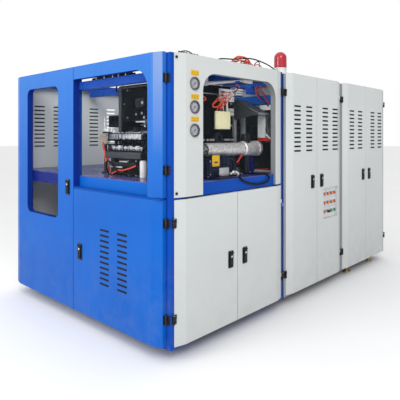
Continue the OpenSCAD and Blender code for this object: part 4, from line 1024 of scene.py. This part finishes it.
# push-in unions on the plate
for i, (x, z) in enumerate(((870, 1830), (930, 1830), (990, 1830), (870, 1800), (930, 1800), (990, 1800), (900, 1782), (960, 1782))):
    P.mat(M["brass"]).revolve((x, 288.4, z), (0, -1, 0), [(0, 0), (9.5, 0), (9.5, 8), (7, 9)], 6)
    P.mat(M["white_pl" if i % 3 else "holder"]).revolve((x, 280, z), (0, -1, 0), [(0, 0), (7.2, 0), (7.2, 14), (5.6, 16), (0, 16)], 18)
for x in (856, 1016):
    for z in (1772, 1844):
        P.mat(M["steel"]).bolt((x, 288, z), (0, -1, 0), 5, 4)
P.done("valve_group", "machine", replaces=("air_panel",), slot="white_plastic")

P = Part()
P.mat(om)
P.tube([(870, 262, 1802), (846, 236, 1784), (792, 226, 1766), (736, 232, 1738), (716, 244, 1714), (738, 252, 1698), (790, 250, 1706), (850, 244, 1742), (888, 250, 1780), (900, 264, 1784)], 4.6, 8, 12)
P.tube([(960, 264, 1784), (926, 236, 1776), (884, 222, 1756), (832, 216, 1726), (800, 222, 1702), (812, 240, 1690), (846, 262, 1700), (846, 274, 1712)], 4.6, 8, 12)
P.tube([(640, 296, 1792), (668, 286, 1776), (680, 284, 1760), (664, 286, 1750), (640, 294, 1756)], 5, 8, 12)
for z in (1792, 1756):
    P.mat(M["brass"]).revolve((640, 300, z), (0, -1, 0), [(0, 0), (8, 0), (8, 7), (6, 8), (0, 8)], 6)
P.mat(M["rubber"])
P.tube([(990, 264, 1830), (1006, 246, 1842), (1030, 244, 1866), (1036, 256, 1884), (1030, 290, 1888)], 4, 8, 12)
P.tube([(990, 264, 1800), (1012, 240, 1790), (1034, 246, 1760), (1026, 268, 1720), (1000, 280, 1701)], 4, 8, 12)
P.done("valve_hoses", "machine", slot="hose_rubber")

# stacked pneumatic manifold beside the plate
P = Part()
P.mat(M["steel"]).box(1040, 1176, 322, 346, 1806, 1880, 1.5)
for i in range(3):
    z = 1822 + i * 20
    P.mat(M["white_pl"]).revolve((1046, 300, z), NX, [(0, 0), (8.4, 0), (8.4, 34), (6.4, 36), (6.4, 48), (8.4, 50), (8.4, 96), (6.8, 99), (0, 99)], 20)
    P.mat(M["holder"]).revolve((1145, 300, z), NX, [(0, 0), (5, 0), (5, 16), (0, 16)], 14)
    P.mat(M["steel"]).box(1056, 1064, 300, 324, z - 5, z + 5, 1)
    P.box(1128, 1136, 300, 324, z - 5, z + 5, 1)
P.mat(M["pink_hose"]).tube([(1060, 318, 1880), (1064, 314, 1896), (1084, 308, 1904), (1108, 310, 1896), (1112, 316, 1881)], 4, 8, 12)
P.mat(M["charcoal"]).box(1030, 1062, 340, 360, 1796, 1880, 1.5)
P.v = [(x + 26, y, z + 3) for x, y, z in P.v]
P.done("manifold", "machine", slot="white_plastic")

# ------------------------------------------------------------------ drive on the deck
P = Part()
P.mat(M["navy"])
P.box(572, 688, 146.5, 150.3, 1176, 1290, 2)
for x in (580, 680):
    for z in (1184, 1282):
        P.mat(M["steel"]).bolt((x, 146.5, z), (0, -1, 0), 5, 4)
P.mat(M["navy"])
for i in range(24):                                              # cooling ribs of the motor
    a = math.radians(15 * i)
    if 45 < (15 * i) % 360 < 160:
        continue
    d = Vector((0, math.cos(a), math.sin(a)))
    n = Vector((0, -d.z, d.y)) * 1.6
    o = Vector((0, 215, 1236))
    for x0, x1 in ((703, 714), (726, 734), (746, 754), (766, 774), (786, 794), (806, 814), (826, 848)):
        vs = []
        for x in (x0, x1):
            for r in (60, 67.4):
                for s in (-1, 1):
                    vs.append(Vector((x, 0, 0)) + o + d * r + n * s)
        P.add(vs, [(0, 1, 3, 2), (4, 6, 7, 5), (0, 4, 5, 1), (2, 3, 7, 6), (0, 2, 6, 4), (1, 5, 7, 3)])
P.ring((880, 215, 1236), NX, [(20, 0), (66, 0), (69.5, -4), (70.3, -28), (66, -30), (62, -3), (20, -3)], 40)
for i in range(8):
    P.mat(M["print"]).ring((880.2, 215, 1236), NX, [(24 + i * 5, 0), (26.6 + i * 5, 0), (26.6 + i * 5, 0.5), (24 + i * 5, 0.5)], 40)
P.mat(M["navy"]).box(728, 812, 145, 199, 1309, 1318, 3)
P.box(730, 810, 146.8, 150.3, 1234, 1308, 1.5)
P.mat(M["rubber"]).revolve((770, 150, 1262), (0, -1, 0), [(0, 0), (11, 0), (11, 8), (8, 10), (8, 18), (0, 18)], 20)
# wider dark cover behind the gearbox
P.mat(M["navy"]).box(562, 826, 288, 296, 1158, 1320, 3)
P.mat(M["yellow"])
shell_plate(P, rr_outline(598, 680, 1243, 1326, 5, 4), 141.5, 146.4, 0.6)
P.mat(M["amber"])
shell_plate(P, rr_outline(602, 676, 1247, 1322, 4, 4), 141.2, 141.6, 0.1)
P.mat(M["yellow"])
shell_plate(P, rr_outline(604, 674, 1249, 1320, 4, 4), 140.9, 141.3, 0.1)
P.mat(M["print"])
shell_plate(P, rr_outline(620, 658, 1266, 1280, 3, 4), 140.7, 141.0, 0.1)
P.mat(M["alu"])
shell_plate(P, rr_outline(671, 784, 1166, 1229, 3, 4), 134.5, 136.0, 0.4)
P.mat(M["red_hose"])
shell_plate(P, rr_outline(673, 689, 1168, 1176, 1, 3), 134.2, 134.6, 0.1)
P.mat(M["steel"])
for x in (677, 778):
    P.bolt((x, 134.5, 1222), (0, -1, 0), 2.6, 1.4, False)
P.mat(M["charcoal"]).box(700, 760, 136, 150, 1166, 1190, 1)
for x in (556, 868):
    for y in (146, 280):
        P.mat(M["steel"]).bolt((x, y, 1166), NZ, 6, 5)
P.done("drive_trim", "machine", slot="navy_paint")

P = Part()
P.mat(M["red_hose"]).tube([(1042, 214, 1330), (1030, 204, 1312), (1004, 200, 1290), (978, 200, 1266), (950, 200, 1244), (930, 200, 1226), (922, 204, 1196), (922, 210, 1158)], 7.5, 6, 14)
P.mat(M["foil"]).tube([(846, 176, 1166), (872, 160, 1184), (900, 150, 1176), (922, 150, 1162), (952, 156, 1160)], 16, 8, 18, radii=lambda t: 15 + 2.4 * math.sin(34 * t) + 1.2 * math.sin(87 * t))
P.mat(M["rubber"])
P.tube([(810, 172, 1280), (840, 156, 1288), (880, 146, 1262), (920, 140, 1210), (980, 138, 1176), (1060, 150, 1166)], 5.5, 8, 12)
P.tube([(600, 300, 1420), (560, 290, 1400), (520, 286, 1330), (516, 290, 1240), (520, 300, 1158)], 6, 8, 12)
P.tube([(690, 292, 1330), (740, 280, 1346), (820, 276, 1340), (880, 282, 1310), (930, 286, 1250), (940, 290, 1158)], 6, 8, 12)
# deep blue tank behind the stand
P.mat(M["tank_blue"]).box(1198, 1290, 262, 340, 1163, 1296, 6)
P.mat(M["steel"]).revolve((1246, 300, 1296), NZ, [(0, 0), (13, 0), (13, 6), (8, 8), (8, 18), (0, 18)], 20)
P.mat(M["black"]).box(1204, 1284, 268, 334, 1156, 1164, 1)
P.mat(M["navy"]).box(486, 760, 9, 133, 1160.2, 1162.6, 0.8)
P.done("deck_pipes", "machine", slot="hose_rubber")

# ------------------------------------------------------------------ front of the press
P = Part()
P.mat(M["black"])
for x0, x1 in ((576, 785), (895, 1030)):
    P.box(x0, x1, 288, 300, 1416, 1432, 1)
    P.box(x0, x1, 288, 300, 1450, 1466, 1)
P.mat(M["steel"])
for x in (600, 652, 700, 738, 768, 915, 940, 966, 1002, 1018):
    w = 10 if x % 4 else 13
    P.box(x - w, x + w, 280, 300.2, 1432, 1450, 2)
    P.revolve((x, 280.2, 1441), (0, -1, 0), [(0, 0), (6, 0), (6, 4), (4, 5.5), (0, 5.5)], 14)
for z in (1190, 1370, 1560, 1740, 1862):
    for x in (352, 1012):
        P.bolt((x, 300, z), (0, -1, 0), 9, 7)
for z in (1190, 1560, 1740):
    for x in (470, 890):
        if not (700 < x < 1030 and z > 1520):
            P.bolt((x, 300, z), (0, -1, 0), 9, 7)
# ram cylinders of the clamp
for x in (520, 840):
    P.mat(M["charcoal"]).ring((x, 300, 1450), (0, -1, 0), [(22, 0), (52, 0), (52, 10), (46, 12), (46, 16), (22, 16)], 32)
# top edge strip and a bright bar under the beam
P.mat(M["alu"]).box(470, 900, 296, 318, 1880, 1892, 1.5)
P.mat(M["steel"]).box(640, 846, 296, 300.2, 1806, 1812, 0.6)
P.done("press_front_trim", "machine", slot="black_metal")

P = Part()
P.mat(M["gray_hose"])
P.tube([(470, 96, 1850), (904, 96, 1912)], 12, 1, 20, raw=True)
P.mat(M["chrome"]).tube([(470, 84.6, 1853), (904, 84.6, 1915)], 3, 1, 12, raw=True)
for x, z in ((480, 1851.4), (894, 1910.6)):
    P.mat(M["steel"]).box(x - 9, x + 9, 84, 122, z - 16, z + 16, 2)
    P.box(x - 9, x + 9, 84, 108, z + 10, 1950, 2)
P.mat(M["white_pl"]).box(906, 1022, 84, 108, 1894, 1920, 3)
P.mat(M["steel"]).box(916, 1012, 90, 106, 1919, 1950, 1)
P.done("linear_unit", "machine", slot="stainless")

# rear and side of the press, seen through the blue window
P = Part()
P.mat(M["iron"])
P.box(322, 329.8, 892, 928, 1170, 1874, 1.5)
P.mat(M["black"])
P.box(306, 330, 728, 752, 1698, 1770, 2)
P.mat(M["charcoal"])
shell_plate(P, rr_outline(590, 696, 1696, 1766, 16, 2), 306, 330.2, 5, swap=True)
P.mat(M["steel"])
for y, z, r in ((606, 1730, 9), (696 + 14, 1643, 7), (639, 1650, 8), (612, 1617, 8), (820, 1840, 6), (420, 1840, 6), (420, 1620, 6), (820, 1620, 6), (860, 1730, 5)):
    P.bolt((330 if r != 9 else 306, y, z), (-1, 0, 0), r, 6)
P.mat(M["alu"]).box(312, 330, 540, 694, 1578, 1589, 1.5)
P.mat(M["iron"]).box(318, 330, 345, 885, 1856, 1868, 1.5)
P.mat(M["rubber"])
P.tube([(318, 860, 1880), (300, 880, 1900), (290, 905, 1880), (296, 925, 1846), (316, 934, 1836), (340, 940, 1850)], 7, 8, 12)
P.tube([(330, 780, 1700), (300, 800, 1690), (290, 830, 1640), (300, 850, 1590), (320, 866, 1560)], 6, 8, 12)
P.mat(M["steel"]).revolve((345, 940, 1850), (0, 1, 0), [(0, -10), (9, -10), (9, 6), (0, 6)], 12)
# valve block at the back
P.mat(M["charcoal"])
P.box(450, 640, 1085, 1245, 1548, 1652, 3)
for i in range(4):
    P.mat(M["black"]).box(446, 450.4, 1100 + i * 36, 1124 + i * 36, 1575, 1640, 1.5)
P.mat(M["iron"]).box(500, 560, 930, 1086, 1570, 1600, 2)
for x in (520, 840):
    P.mat(M["charcoal"]).ring((x, 930, 1450), (0, 1, 0), [(22, 0), (52, 0), (52, 110), (46, 114), (46, 122), (22, 122)], 32)
    P.cyl((x, 1051.5, 1450), (0, 1, 0), 45, 8, 1.5, 32)
    P.mat(M["steel"]).revolve((x, 1059, 1450), (0, 1, 0), [(0, 0), (14, 0), (14, 16), (0, 18)], 20)
for z in (1190, 1370, 1560, 1740, 1862):
    for x in (352, 680, 1012):
        P.mat(M["steel"]).bolt((x, 930, z), (0, 1, 0), 9, 7)
P.done("press_side_trim", "machine", slot="black_metal")

# ------------------------------------------------------------------ preform loading rails
P = Part()
P.mat(M["iron"]).box(236.5, 240.4, 545, 996, 1298, 1345, 1)
P.box(244, 312, 978, 1002, 1294, 1350, 1.5)
P.mat(M["black"])
for i in range(21):                                              # chain plates
    y = 560 + i * 20.5
    for z0, z1 in ((1352, 1362), (1398, 1408), (1432, 1441)):
        P.box(244, 250.5, y - 8.6, y + 8.6, z0, z1, 1.6)
ROW1 = [(833, 1), (790, 0), (742, 1), (705, 0), (669, 1), (636, 0), (605, 1), (578, 0), (549, 1), (870, 0), (905, 1)]
for y, big in ROW1:
    P.mat(M["steel" if big else "alu"])
    P.box(229, 250.5, y - (19 if big else 9), y + (19 if big else 9), 1446 if big else 1452, 1486, 3)
    P.mat(M["chrome"]).revolve((232, y, 1466), (-1, 0, 0), [(0, -3), (14, -3), (14, 0), (11, 2), (11, 3.4), (5, 3.4), (5, 1), (0, 1)], 24)
    P.revolve((262, y, 1486), NZ, [(0, 0), (12.5, 0), (12.5, 6), (10, 8), (10, 14), (7, 16), (0, 16)], 20)
for i, y in enumerate((887, 852, 818, 776, 735, 698, 662, 630, 598, 570, 540)):
    z = 1380
    P.mat(M["chrome" if i % 2 else "alu"])
    r = (15, 10, 19, 9, 13, 12, 15, 9, 17, 12, 10)[i]
    P.revolve((250.4, y, z), (-1, 0, 0), [(0, 0), (r, 0), (r, 7), (r * 0.8, 9), (r * 0.8, 13), (r * 0.5, 14), (r * 0.5, 19), (0, 20)], 24)
    P.mat(M["steel"]).box(240, 250.4, y - 5, y + 5, z - 22, z - 10, 1.5)
    if i % 3 == 0:
        P.mat(M["alu"]).box(232, 242, y - 16, y + 16, z + 10, z + 16, 1.5)
P.mat(M["rubber"])
P.tube([(246, 548, 1478), (236, 534, 1490), (236, 520, 1510), (252, 510, 1540)], 4, 8, 10)
P.mat(M["steel"]).revolve((254, 509, 1546), NZ, [(0, -8), (7, -8), (7, 8), (0, 10)], 12)
P.mat(M["iron"]).box(252, 300, 500, 556, 1548, 1560, 1)
P.box(290, 330, 500, 556, 1548, 1600, 1)
P.done("loading_trim", "machine", slot="stainless")

P = Part()
P.mat(M["black"])
P.box(244, 314, 592, 712, 1157, 1292, 3)                         # drive box between the legs
P.mat(M["steel"])
for y in (604, 700):
    for z in (1170, 1280):
        P.bolt((244, y, z), (-1, 0, 0), 5, 4)
P.mat(M["white_pl"]).revolve((276, 557, 1156.5), NZ, [(0, 0), (27, 0), (27, 118), (24, 122), (24, 128), (10, 130), (0, 130)], 32)
P.mat(M["alu"])
P.box(246, 262, 785, 938, 1219, 1231, 2)
P.box(250, 268, 722, 824, 1262, 1275, 2)
P.box(258, 300, 716, 726, 1160, 1276, 1.5)
P.box(262, 300, 925, 940, 1219, 1290, 1.5)
P.mat(M["charcoal"]).box(300, 318, 716, 940, 1200, 1292, 1.5)
# orange-red hoses from the rotary union to the deck
P.mat(om)
P.tube([(298, 1100, 1424), (290, 1101, 1396), (284, 1076, 1351), (280, 1054, 1307), (276, 1036, 1266), (282, 1020, 1226), (300, 1010, 1158)], 7.5, 8, 14)
P.tube([(300, 968, 1362), (288, 986, 1342), (282, 1006, 1318), (280, 1026, 1290), (292, 1040, 1240), (320, 1044, 1158)], 7.5, 8, 14)
P.tube([(300, 962, 1330), (286, 980, 1322), (280, 1000, 1300), (284, 1018, 1276)], 6, 8, 12)
P.tube([(262, 940, 1158), (244, 900, 1172), (236, 860, 1184), (232, 819, 1200), (231, 773, 1202), (231, 720, 1210), (232, 670, 1222), (234, 622, 1236), (244, 606, 1246)], 6.5, 8, 14)
P.mat(M["rubber"])
P.tube([(300, 1030, 1158), (262, 1012, 1210), (246, 985, 1252), (240, 969, 1265), (236, 941, 1268), (232, 897, 1248), (230, 865, 1226), (230, 796, 1192), (232, 729, 1186), (240, 690, 1176), (262, 676, 1160)], 8, 8, 16)
P.tube([(320, 860, 1158), (290, 840, 1190), (262, 800, 1196), (256, 760, 1240), (270, 740, 1262)], 6, 8, 12)
P.done("loading_hoses", "machine", slot="hose_rubber")

P = Part()
ax = Vector((-0.72, -0.69, 0)).normalized()
P.mat(M["beige"]).revolve((322, 1110, 1449), ax, [(0, -30), (36, -30), (36, -4), (44, -2), (46.5, 2), (46.5, 22), (43, 27), (20, 28), (17, 25), (0, 25)], 36)
for i in range(6):
    a, u, w = basis(ax)
    c = Vector((322, 1110, 1449)) + a * 27.4 + (u * math.cos(i * math.pi / 3) + w * math.sin(i * math.pi / 3)) * 33
    P.mat(M["steel"]).bolt(c, ax, 3.8, 2.5)
for dy, dz in ((62, 36), (70, 10), (60, -18), (30, 46)):
    P.mat(M["brass"]).revolve((318, 1110 + dy, 1449 + dz), ax, [(0, -8), (9, -8), (9, 10), (6.5, 11), (6.5, 22), (0, 22)], 6)
P.mat(M["alu"]).revolve((352, 1176, 1460), (-1, 0, 0), [(0, -8), (18, -8), (18, 0), (43, 0), (44, 4), (44, 12), (40, 15), (22, 15), (20, 11), (0, 11)], 36)
for i in range(8):
    t = i * math.pi / 4
    P.mat(M["dark_steel"]).bolt((337, 1176 + 32 * math.cos(t), 1460 + 32 * math.sin(t)), (-1, 0, 0), 4.4, 3)
P.mat(M["iron"]).revolve((352, 1150, 1157), NZ, [(0, 0), (34, 0), (34, 8), (13, 10), (13, 268), (0, 268)], 24)
P.tube([(352, 1150, 1420), (352, 1150, 1440), (350, 1150, 1452), (340, 1140, 1456), (330, 1130, 1456)], 15, 6, 16)
P.tube([(352, 1172, 1440), (356, 1174, 1456), (366, 1176, 1460), (372, 1176, 1460)], 14, 6, 16)
# white guide rod and its bracket
P.mat(M["charcoal"]).box(262, 292, 970, 1070, 1496, 1506, 1.5)
P.box(270, 300, 964, 976, 1440, 1506, 1)
P.mat(M["white_pl"]).box(270, 282, 1046, 1061, 1506, 1630, 2.5)
P.box(264, 286, 986, 1050, 1508, 1534, 5)
P.revolve((274, 948, 1514), NZ, [(0, 0), (5, 2), (9, 8), (10, 13), (8, 20), (4, 24), (0, 25)], 20)
P.mat(M["steel"]).revolve((274, 948, 1497), NZ, [(0, 0), (5, 0), (5, 18), (0, 18)], 12)
P.done("rotary_union", "machine", slot="gray_steel")

# ------------------------------------------------------------------ hood, posts and what is right of them
P = Part()
P.mat(M["post_gray"]).box(1137.6, 1170.4, 365.6, 398.4, 1300, 1700, 1.5)
P.box(1263.6, 1296.4, 366.6, 398.4, 1290, 1706, 1.5)
# painted highlight: strips of the posts' front faces in a lighter copy of the post gray
P.mat(M["post_light"]).box(1272, 1295.6, 364.6, 367.4, 1296, 1700, 0.8)
P.box(1142, 1150, 364.4, 366.2, 1310, 1690, 0.5)
P.mat(M["steel"])
for x in (1154, 1280):
    for z in (1330, 1500, 1640):
        P.bolt((x, 364.6, z), (0, -1, 0), 4.5, 3)
P.done("hood_post_trim", "machine", slot="gray_steel")

P = Part()
P.mat(M["hood"])
P.prism([(116, 1650.5), (368, 1612.5), (368, 1785.5), (116, 1664)], 1136.4, 1139.6, "yz")
P.mat(M["post_gray"])
P.tube([(1138.5, 200, 1706.5), (1138.5, 118, 1667)], 2.6, 1, 8, raw=True)         # folded edge in the lighter post gray: painted highlight along the hood's edge
P.box(1139, 1298, 109.6, 112.4, 1650, 1667, 0.8)
# painted highlight: the end of the bar's front in the lighter post gray
P.mat(M["post_light"]).box(1276, 1298, 108.4, 110, 1652, 1665, 0.4)
for x in (1150, 1218, 1288):
    P.mat(M["steel"]).bolt((x, 109.6, 1658), (0, -1, 0), 3.6, 2.2)
P.done("hood_trim", "machine", slot="gray_steel")

# white cover of the preform opening, with its red foot and the cable bundle beside it
P = Part()
P.mat(M["white"])
P.box(1286, 1300, 147, 226, 1456, 1650, 2)
P.box(1283.4, 1286.4, 150, 158, 1460, 1646, 0.8)
P.box(1283.4, 1286.4, 214, 222, 1460, 1646, 0.8)
P.mat(M["steel"])
for z in (1480, 1550, 1620):
    P.bolt((1286, 154, z), (-1, 0, 0), 3.4, 2.2)
P.mat(M["red_hose"]).box(1282, 1300, 104, 220, 1430, 1454, 3)
P.box(1290, 1302, 96, 150, 1424, 1432, 1.5)
P.mat(M["white_pl"]).tube([(1284, 137, 1486), (1284, 112, 1464), (1286, 88, 1446)], 8, 5, 12)
P.box(1298.7, 1302.6, 97, 214, 1694, 1738, 1)
P.done("preform_guard", "machine", slot="white_paint")

P = Part()
P.mat(M["red_hose"])
P.tube([(1306, 250, 1905), (1290, 246, 1890), (1276, 236, 1850), (1276, 200, 1800), (1290, 150, 1770), (1304, 120, 1760)], 5, 8, 12)
P.tube([(1306, 190, 1900), (1292, 186, 1870), (1288, 160, 1830), (1294, 140, 1790), (1304, 130, 1750)], 5, 8, 12)
P.tube([(1306, 215, 1905), (1286, 214, 1880), (1272, 226, 1840), (1278, 180, 1790), (1296, 126, 1742)], 4.5, 8, 12)
P.mat(M["rubber"])
P.tube([(1300, 300, 1905), (1280, 240, 1860), (1270, 200, 1820), (1284, 150, 1766), (1300, 120, 1726)], 5, 8, 12)
for i in range(5):                                              # cable bundle hanging in the corner
    y = 108 + i * 8.5
    P.mat(M["iron" if i % 2 else "dark_steel"]).tube([(1294 + 3 * math.sin(j * 1.3 + i), y + 3.6 * math.sin(j * 1.9 + i * 2), 1668 - j * 22) for j in range(10)], 4.2, 4, 10)
P.mat(M["blue_frame"]).prism([(370, 1925), (284, 1906), (236, 1830), (370, 1846)], 1303.5, 1308, "yz")
P.mat(M["red_hose"]).tube([(1296, 300, 1177), (1296, 240, 1180), (1297, 170, 1188), (1298, 110, 1194)], 3.6, 6, 10)
P.done("right_side_hoses", "machine", slot="hose_rubber")

# rubber strips that close the gaps between the modules
P = Part().mat(M["navy"])
P.box(1363.6, 1391.4, 27, 31, 100, 2004, 0.8)
P.box(2442.6, 2458.4, 27, 31, 100, 2004, 0.8)
P.done("module_seals", "machine", slot="hose_rubber")

# ------------------------------------------------------------------ seams and frame hardware
P = Part().mat(M["steel"])                                        # screws of the back panels and the roof sheets
for x0, x1, z0, z1 in ((60, 707, 1070, 2020), (713, 1360, 1070, 2020), (60, 707, 100, 1055), (713, 1360, 100, 1055),
                       (1396, 1914, 100, 2020), (1920, 2438, 100, 2020), (2466, 3015, 100, 2020), (3021, 3568, 100, 2020)):
    nz = 2 if z1 - z0 < 1200 else 4
    for x in (x0 + 22, x1 - 22):
        for i in range(nz + 1):
            P.bolt((x, 2159.9, z0 + 24 + (z1 - z0 - 48) * i / nz), (0, 1, 0), 6, 3, False)
for x0, x1 in ((1389, 2442), (2462, 3571)):
    for x in (x0 + 40, (x0 + x1) / 2, x1 - 40):
        for y in (54, 2106):
            if abs(x - 1450) > 90 or y > 1000:                        # none under the beacon's foot
                P.bolt((x, y, 2011.9), NZ, 6, 3, False)
P.done("panel_screws", "machine", slot="zinc")
P = Part().mat(M["rubber"])                                       # cable bundle on the second beam over the blue window
P.tube([(96, 436, 1915.5), (98, 520, 1915), (95, 640, 1916), (98, 780, 1915), (96, 930, 1915.2)], 10, 6, 14)
P.tube([(74, 440, 1914), (76, 560, 1914.5), (73, 700, 1914), (76, 820, 1914.4), (74, 926, 1914)], 9, 6, 14)
P.tube([(85, 452, 1931), (88, 540, 1932), (84, 680, 1931), (87, 800, 1932), (85, 900, 1920)], 8, 6, 14)
P.mat(M["red_hose"]).tube([(103, 470, 1929), (104, 560, 1931), (101, 640, 1930), (104, 730, 1931), (102, 800, 1925)], 4.4, 6, 10)
for y in (500, 585, 655, 760, 865):
    P.mat(M["white_pl"]).box(62, 110, y - 4, y + 4, 1905.3, 1907, 0.4)
    P.box(62, 64.5, y - 4, y + 4, 1905.3, 1938, 0.4)
    P.box(107.5, 110, y - 4, y + 4, 1905.3, 1938, 0.4)
    P.box(62, 110, y - 4, y + 4, 1940, 1942, 0.4)
P.done("beam_cables", "machine", slot="hose_rubber")
P = Part().mat(M["seam_blue"])                                   # rubber lip along the top of the lower blue door
P.box(4, 50, 66, 1076, 1055.1, 1067, 0.8)
P.done("door_seam_lip", "lower_blue_leaf", slot="hose_rubber")
P = Part().mat(M["blue_frame"])                                  # corner gusset under the top rails
P.box(560, 858, 84.2, 430, 1949.8, 1953, 0.8)
P.done("top_gusset", "machine", slot="blue_paint")

P = Part()
P.mat(M["steel"])
for x, s in ((fx_, sx) for fx_, sx in ((117.2, 1), (1302.8, -1))):
    for y in (54, 1178, 2106):
        for z in (1180, 1920):
            P.bolt((x, y, z), (s, 0, 0), 7, 5)
for x in (830,):
    for y in (110, 300, 1900):
        P.bolt((x, y, 1949.6), NZ, 6, 4)
P.mat(M["rubber"])
# seal round a clear sheet; only the tall window's sheet gets one
def seal(P, axis, d0, d1, a0, a1, z0, z1, w=7):
    for q in ((a0 - w, a1 + w, z0 - w, z0), (a0 - w, a1 + w, z1, z1 + w), (a0 - w, a0, z0, z1), (a1, a1 + w, z0, z1)):
        if axis == "x":
            P.box(d0, d1, q[0], q[1], q[2], q[3], 0.8)
        else:
            P.box(q[0], q[1], d0, d1, q[2], q[3], 0.8)


P.done("frame_bolts", "machine", slot="zinc")
P = Part().mat(M["rubber"])
seal(P, "x", 55.0, 56.4, 1320, 1864, 788, 1892)
P.done("tall_window_seal", "tall_leaf", slot="hose_rubber")

# lettering-free rating plates' places stay bare; caps on the open tube ends
P = Part().mat(M["latch"])
for x in (57, 1303):
    for y in (24, 1148, 2076):
        P.box(x + 1.5, x + 58.5, y + 1.5, y + 58.5, 2013.9, 2016.6, 1.2)
P.done("tube_caps", "machine", slot="latch_black")

# oven lamps and cable tray in the oven cabinet
P = Part()
P.mat(M["white_pl"])
for i in range(8):
    for x in (1531, 2309):
        P.revolve((x, 684, 1215 + i * 42), NX, [(0, 0), (8.6, 0), (8.6, 20), (0, 20)], 16)
P.mat(M["charcoal"])
for i in range(30):
    P.box(1500 + i * 29, 1518 + i * 29, 560, 640, 1170.2, 1180, 2)
    P.revolve((1509 + i * 29, 600, 1180), NZ, [(0, 0), (12, 0), (12, 8), (9, 10), (9, 24), (0, 24)], 14)
P.done("oven_trim", "machine", slot="stainless")

# ------------------------------------------------------------------ floor and light
me = bpy.data.meshes.new("floor")
me.from_pydata([(-60, -60, 0), (60, -60, 0), (60, 60, 0), (-60, 60, 0)], [], [(0, 1, 2, 3)])
floor = link(bpy.data.objects.new("floor", me))
k = NB("floor_pale")
k.l(k.mix(k.maprange(k.noise(0.8, 4), 0.3, 0.7), (0.90, 0.90, 0.905), (0.875, 0.878, 0.885)), k.b.inputs["Base Color"])
k.val("Roughness", 0.7)
k.val("Specular IOR Level", 0.25)
me.materials.append(k.m)

world = bpy.data.worlds.new("world")
bpy.context.scene.world = world
world.use_nodes = True
bg = world.node_tree.nodes["Background"]
bg.inputs["Color"].default_value = (1.0, 1.0, 1.0, 1)
# even studio light, with a darker corner to the right of the machine's front
wt = world.node_tree
tc = wt.nodes.new("ShaderNodeTexCoord")
vd = wt.nodes.new("ShaderNodeVectorMath")
vd.operation = "DOT_PRODUCT"
vd.inputs[1].default_value = (0.7071, -0.7071, 0.0)
wt.links.new(tc.outputs["Generated"], vd.inputs[0])
mr = wt.nodes.new("ShaderNodeMapRange")
for i, q in zip((1, 2, 3, 4), (0.42, 0.95, 1.0, 0.30)):
    mr.inputs[i].default_value = q
wt.links.new(vd.outputs["Value"], mr.inputs[0])
wt.links.new(mr.outputs[0], bg.inputs["Strength"])


def area(name, loc, target, size, power, color=(1, 1, 1)):
    d = bpy.data.lights.new(name, "AREA")
    d.shape = "RECTANGLE"
    d.size, d.size_y = size
    d.energy = power
    d.color = color
    o = link(bpy.data.objects.new(name, d))
    o.location = loc
    o.rotation_euler = (Vector(target) - Vector(loc)).to_track_quat("-Z", "Y").to_euler()
    return o


area("key", (-5.0, -5.5, 5.5), (0, 0, 1.0), (3.5, 3.5), 220)
area("side", (-5.8, 0.4, 2.7), (-1.7, -0.6, 1.6), (1.6, 2.2), 70)
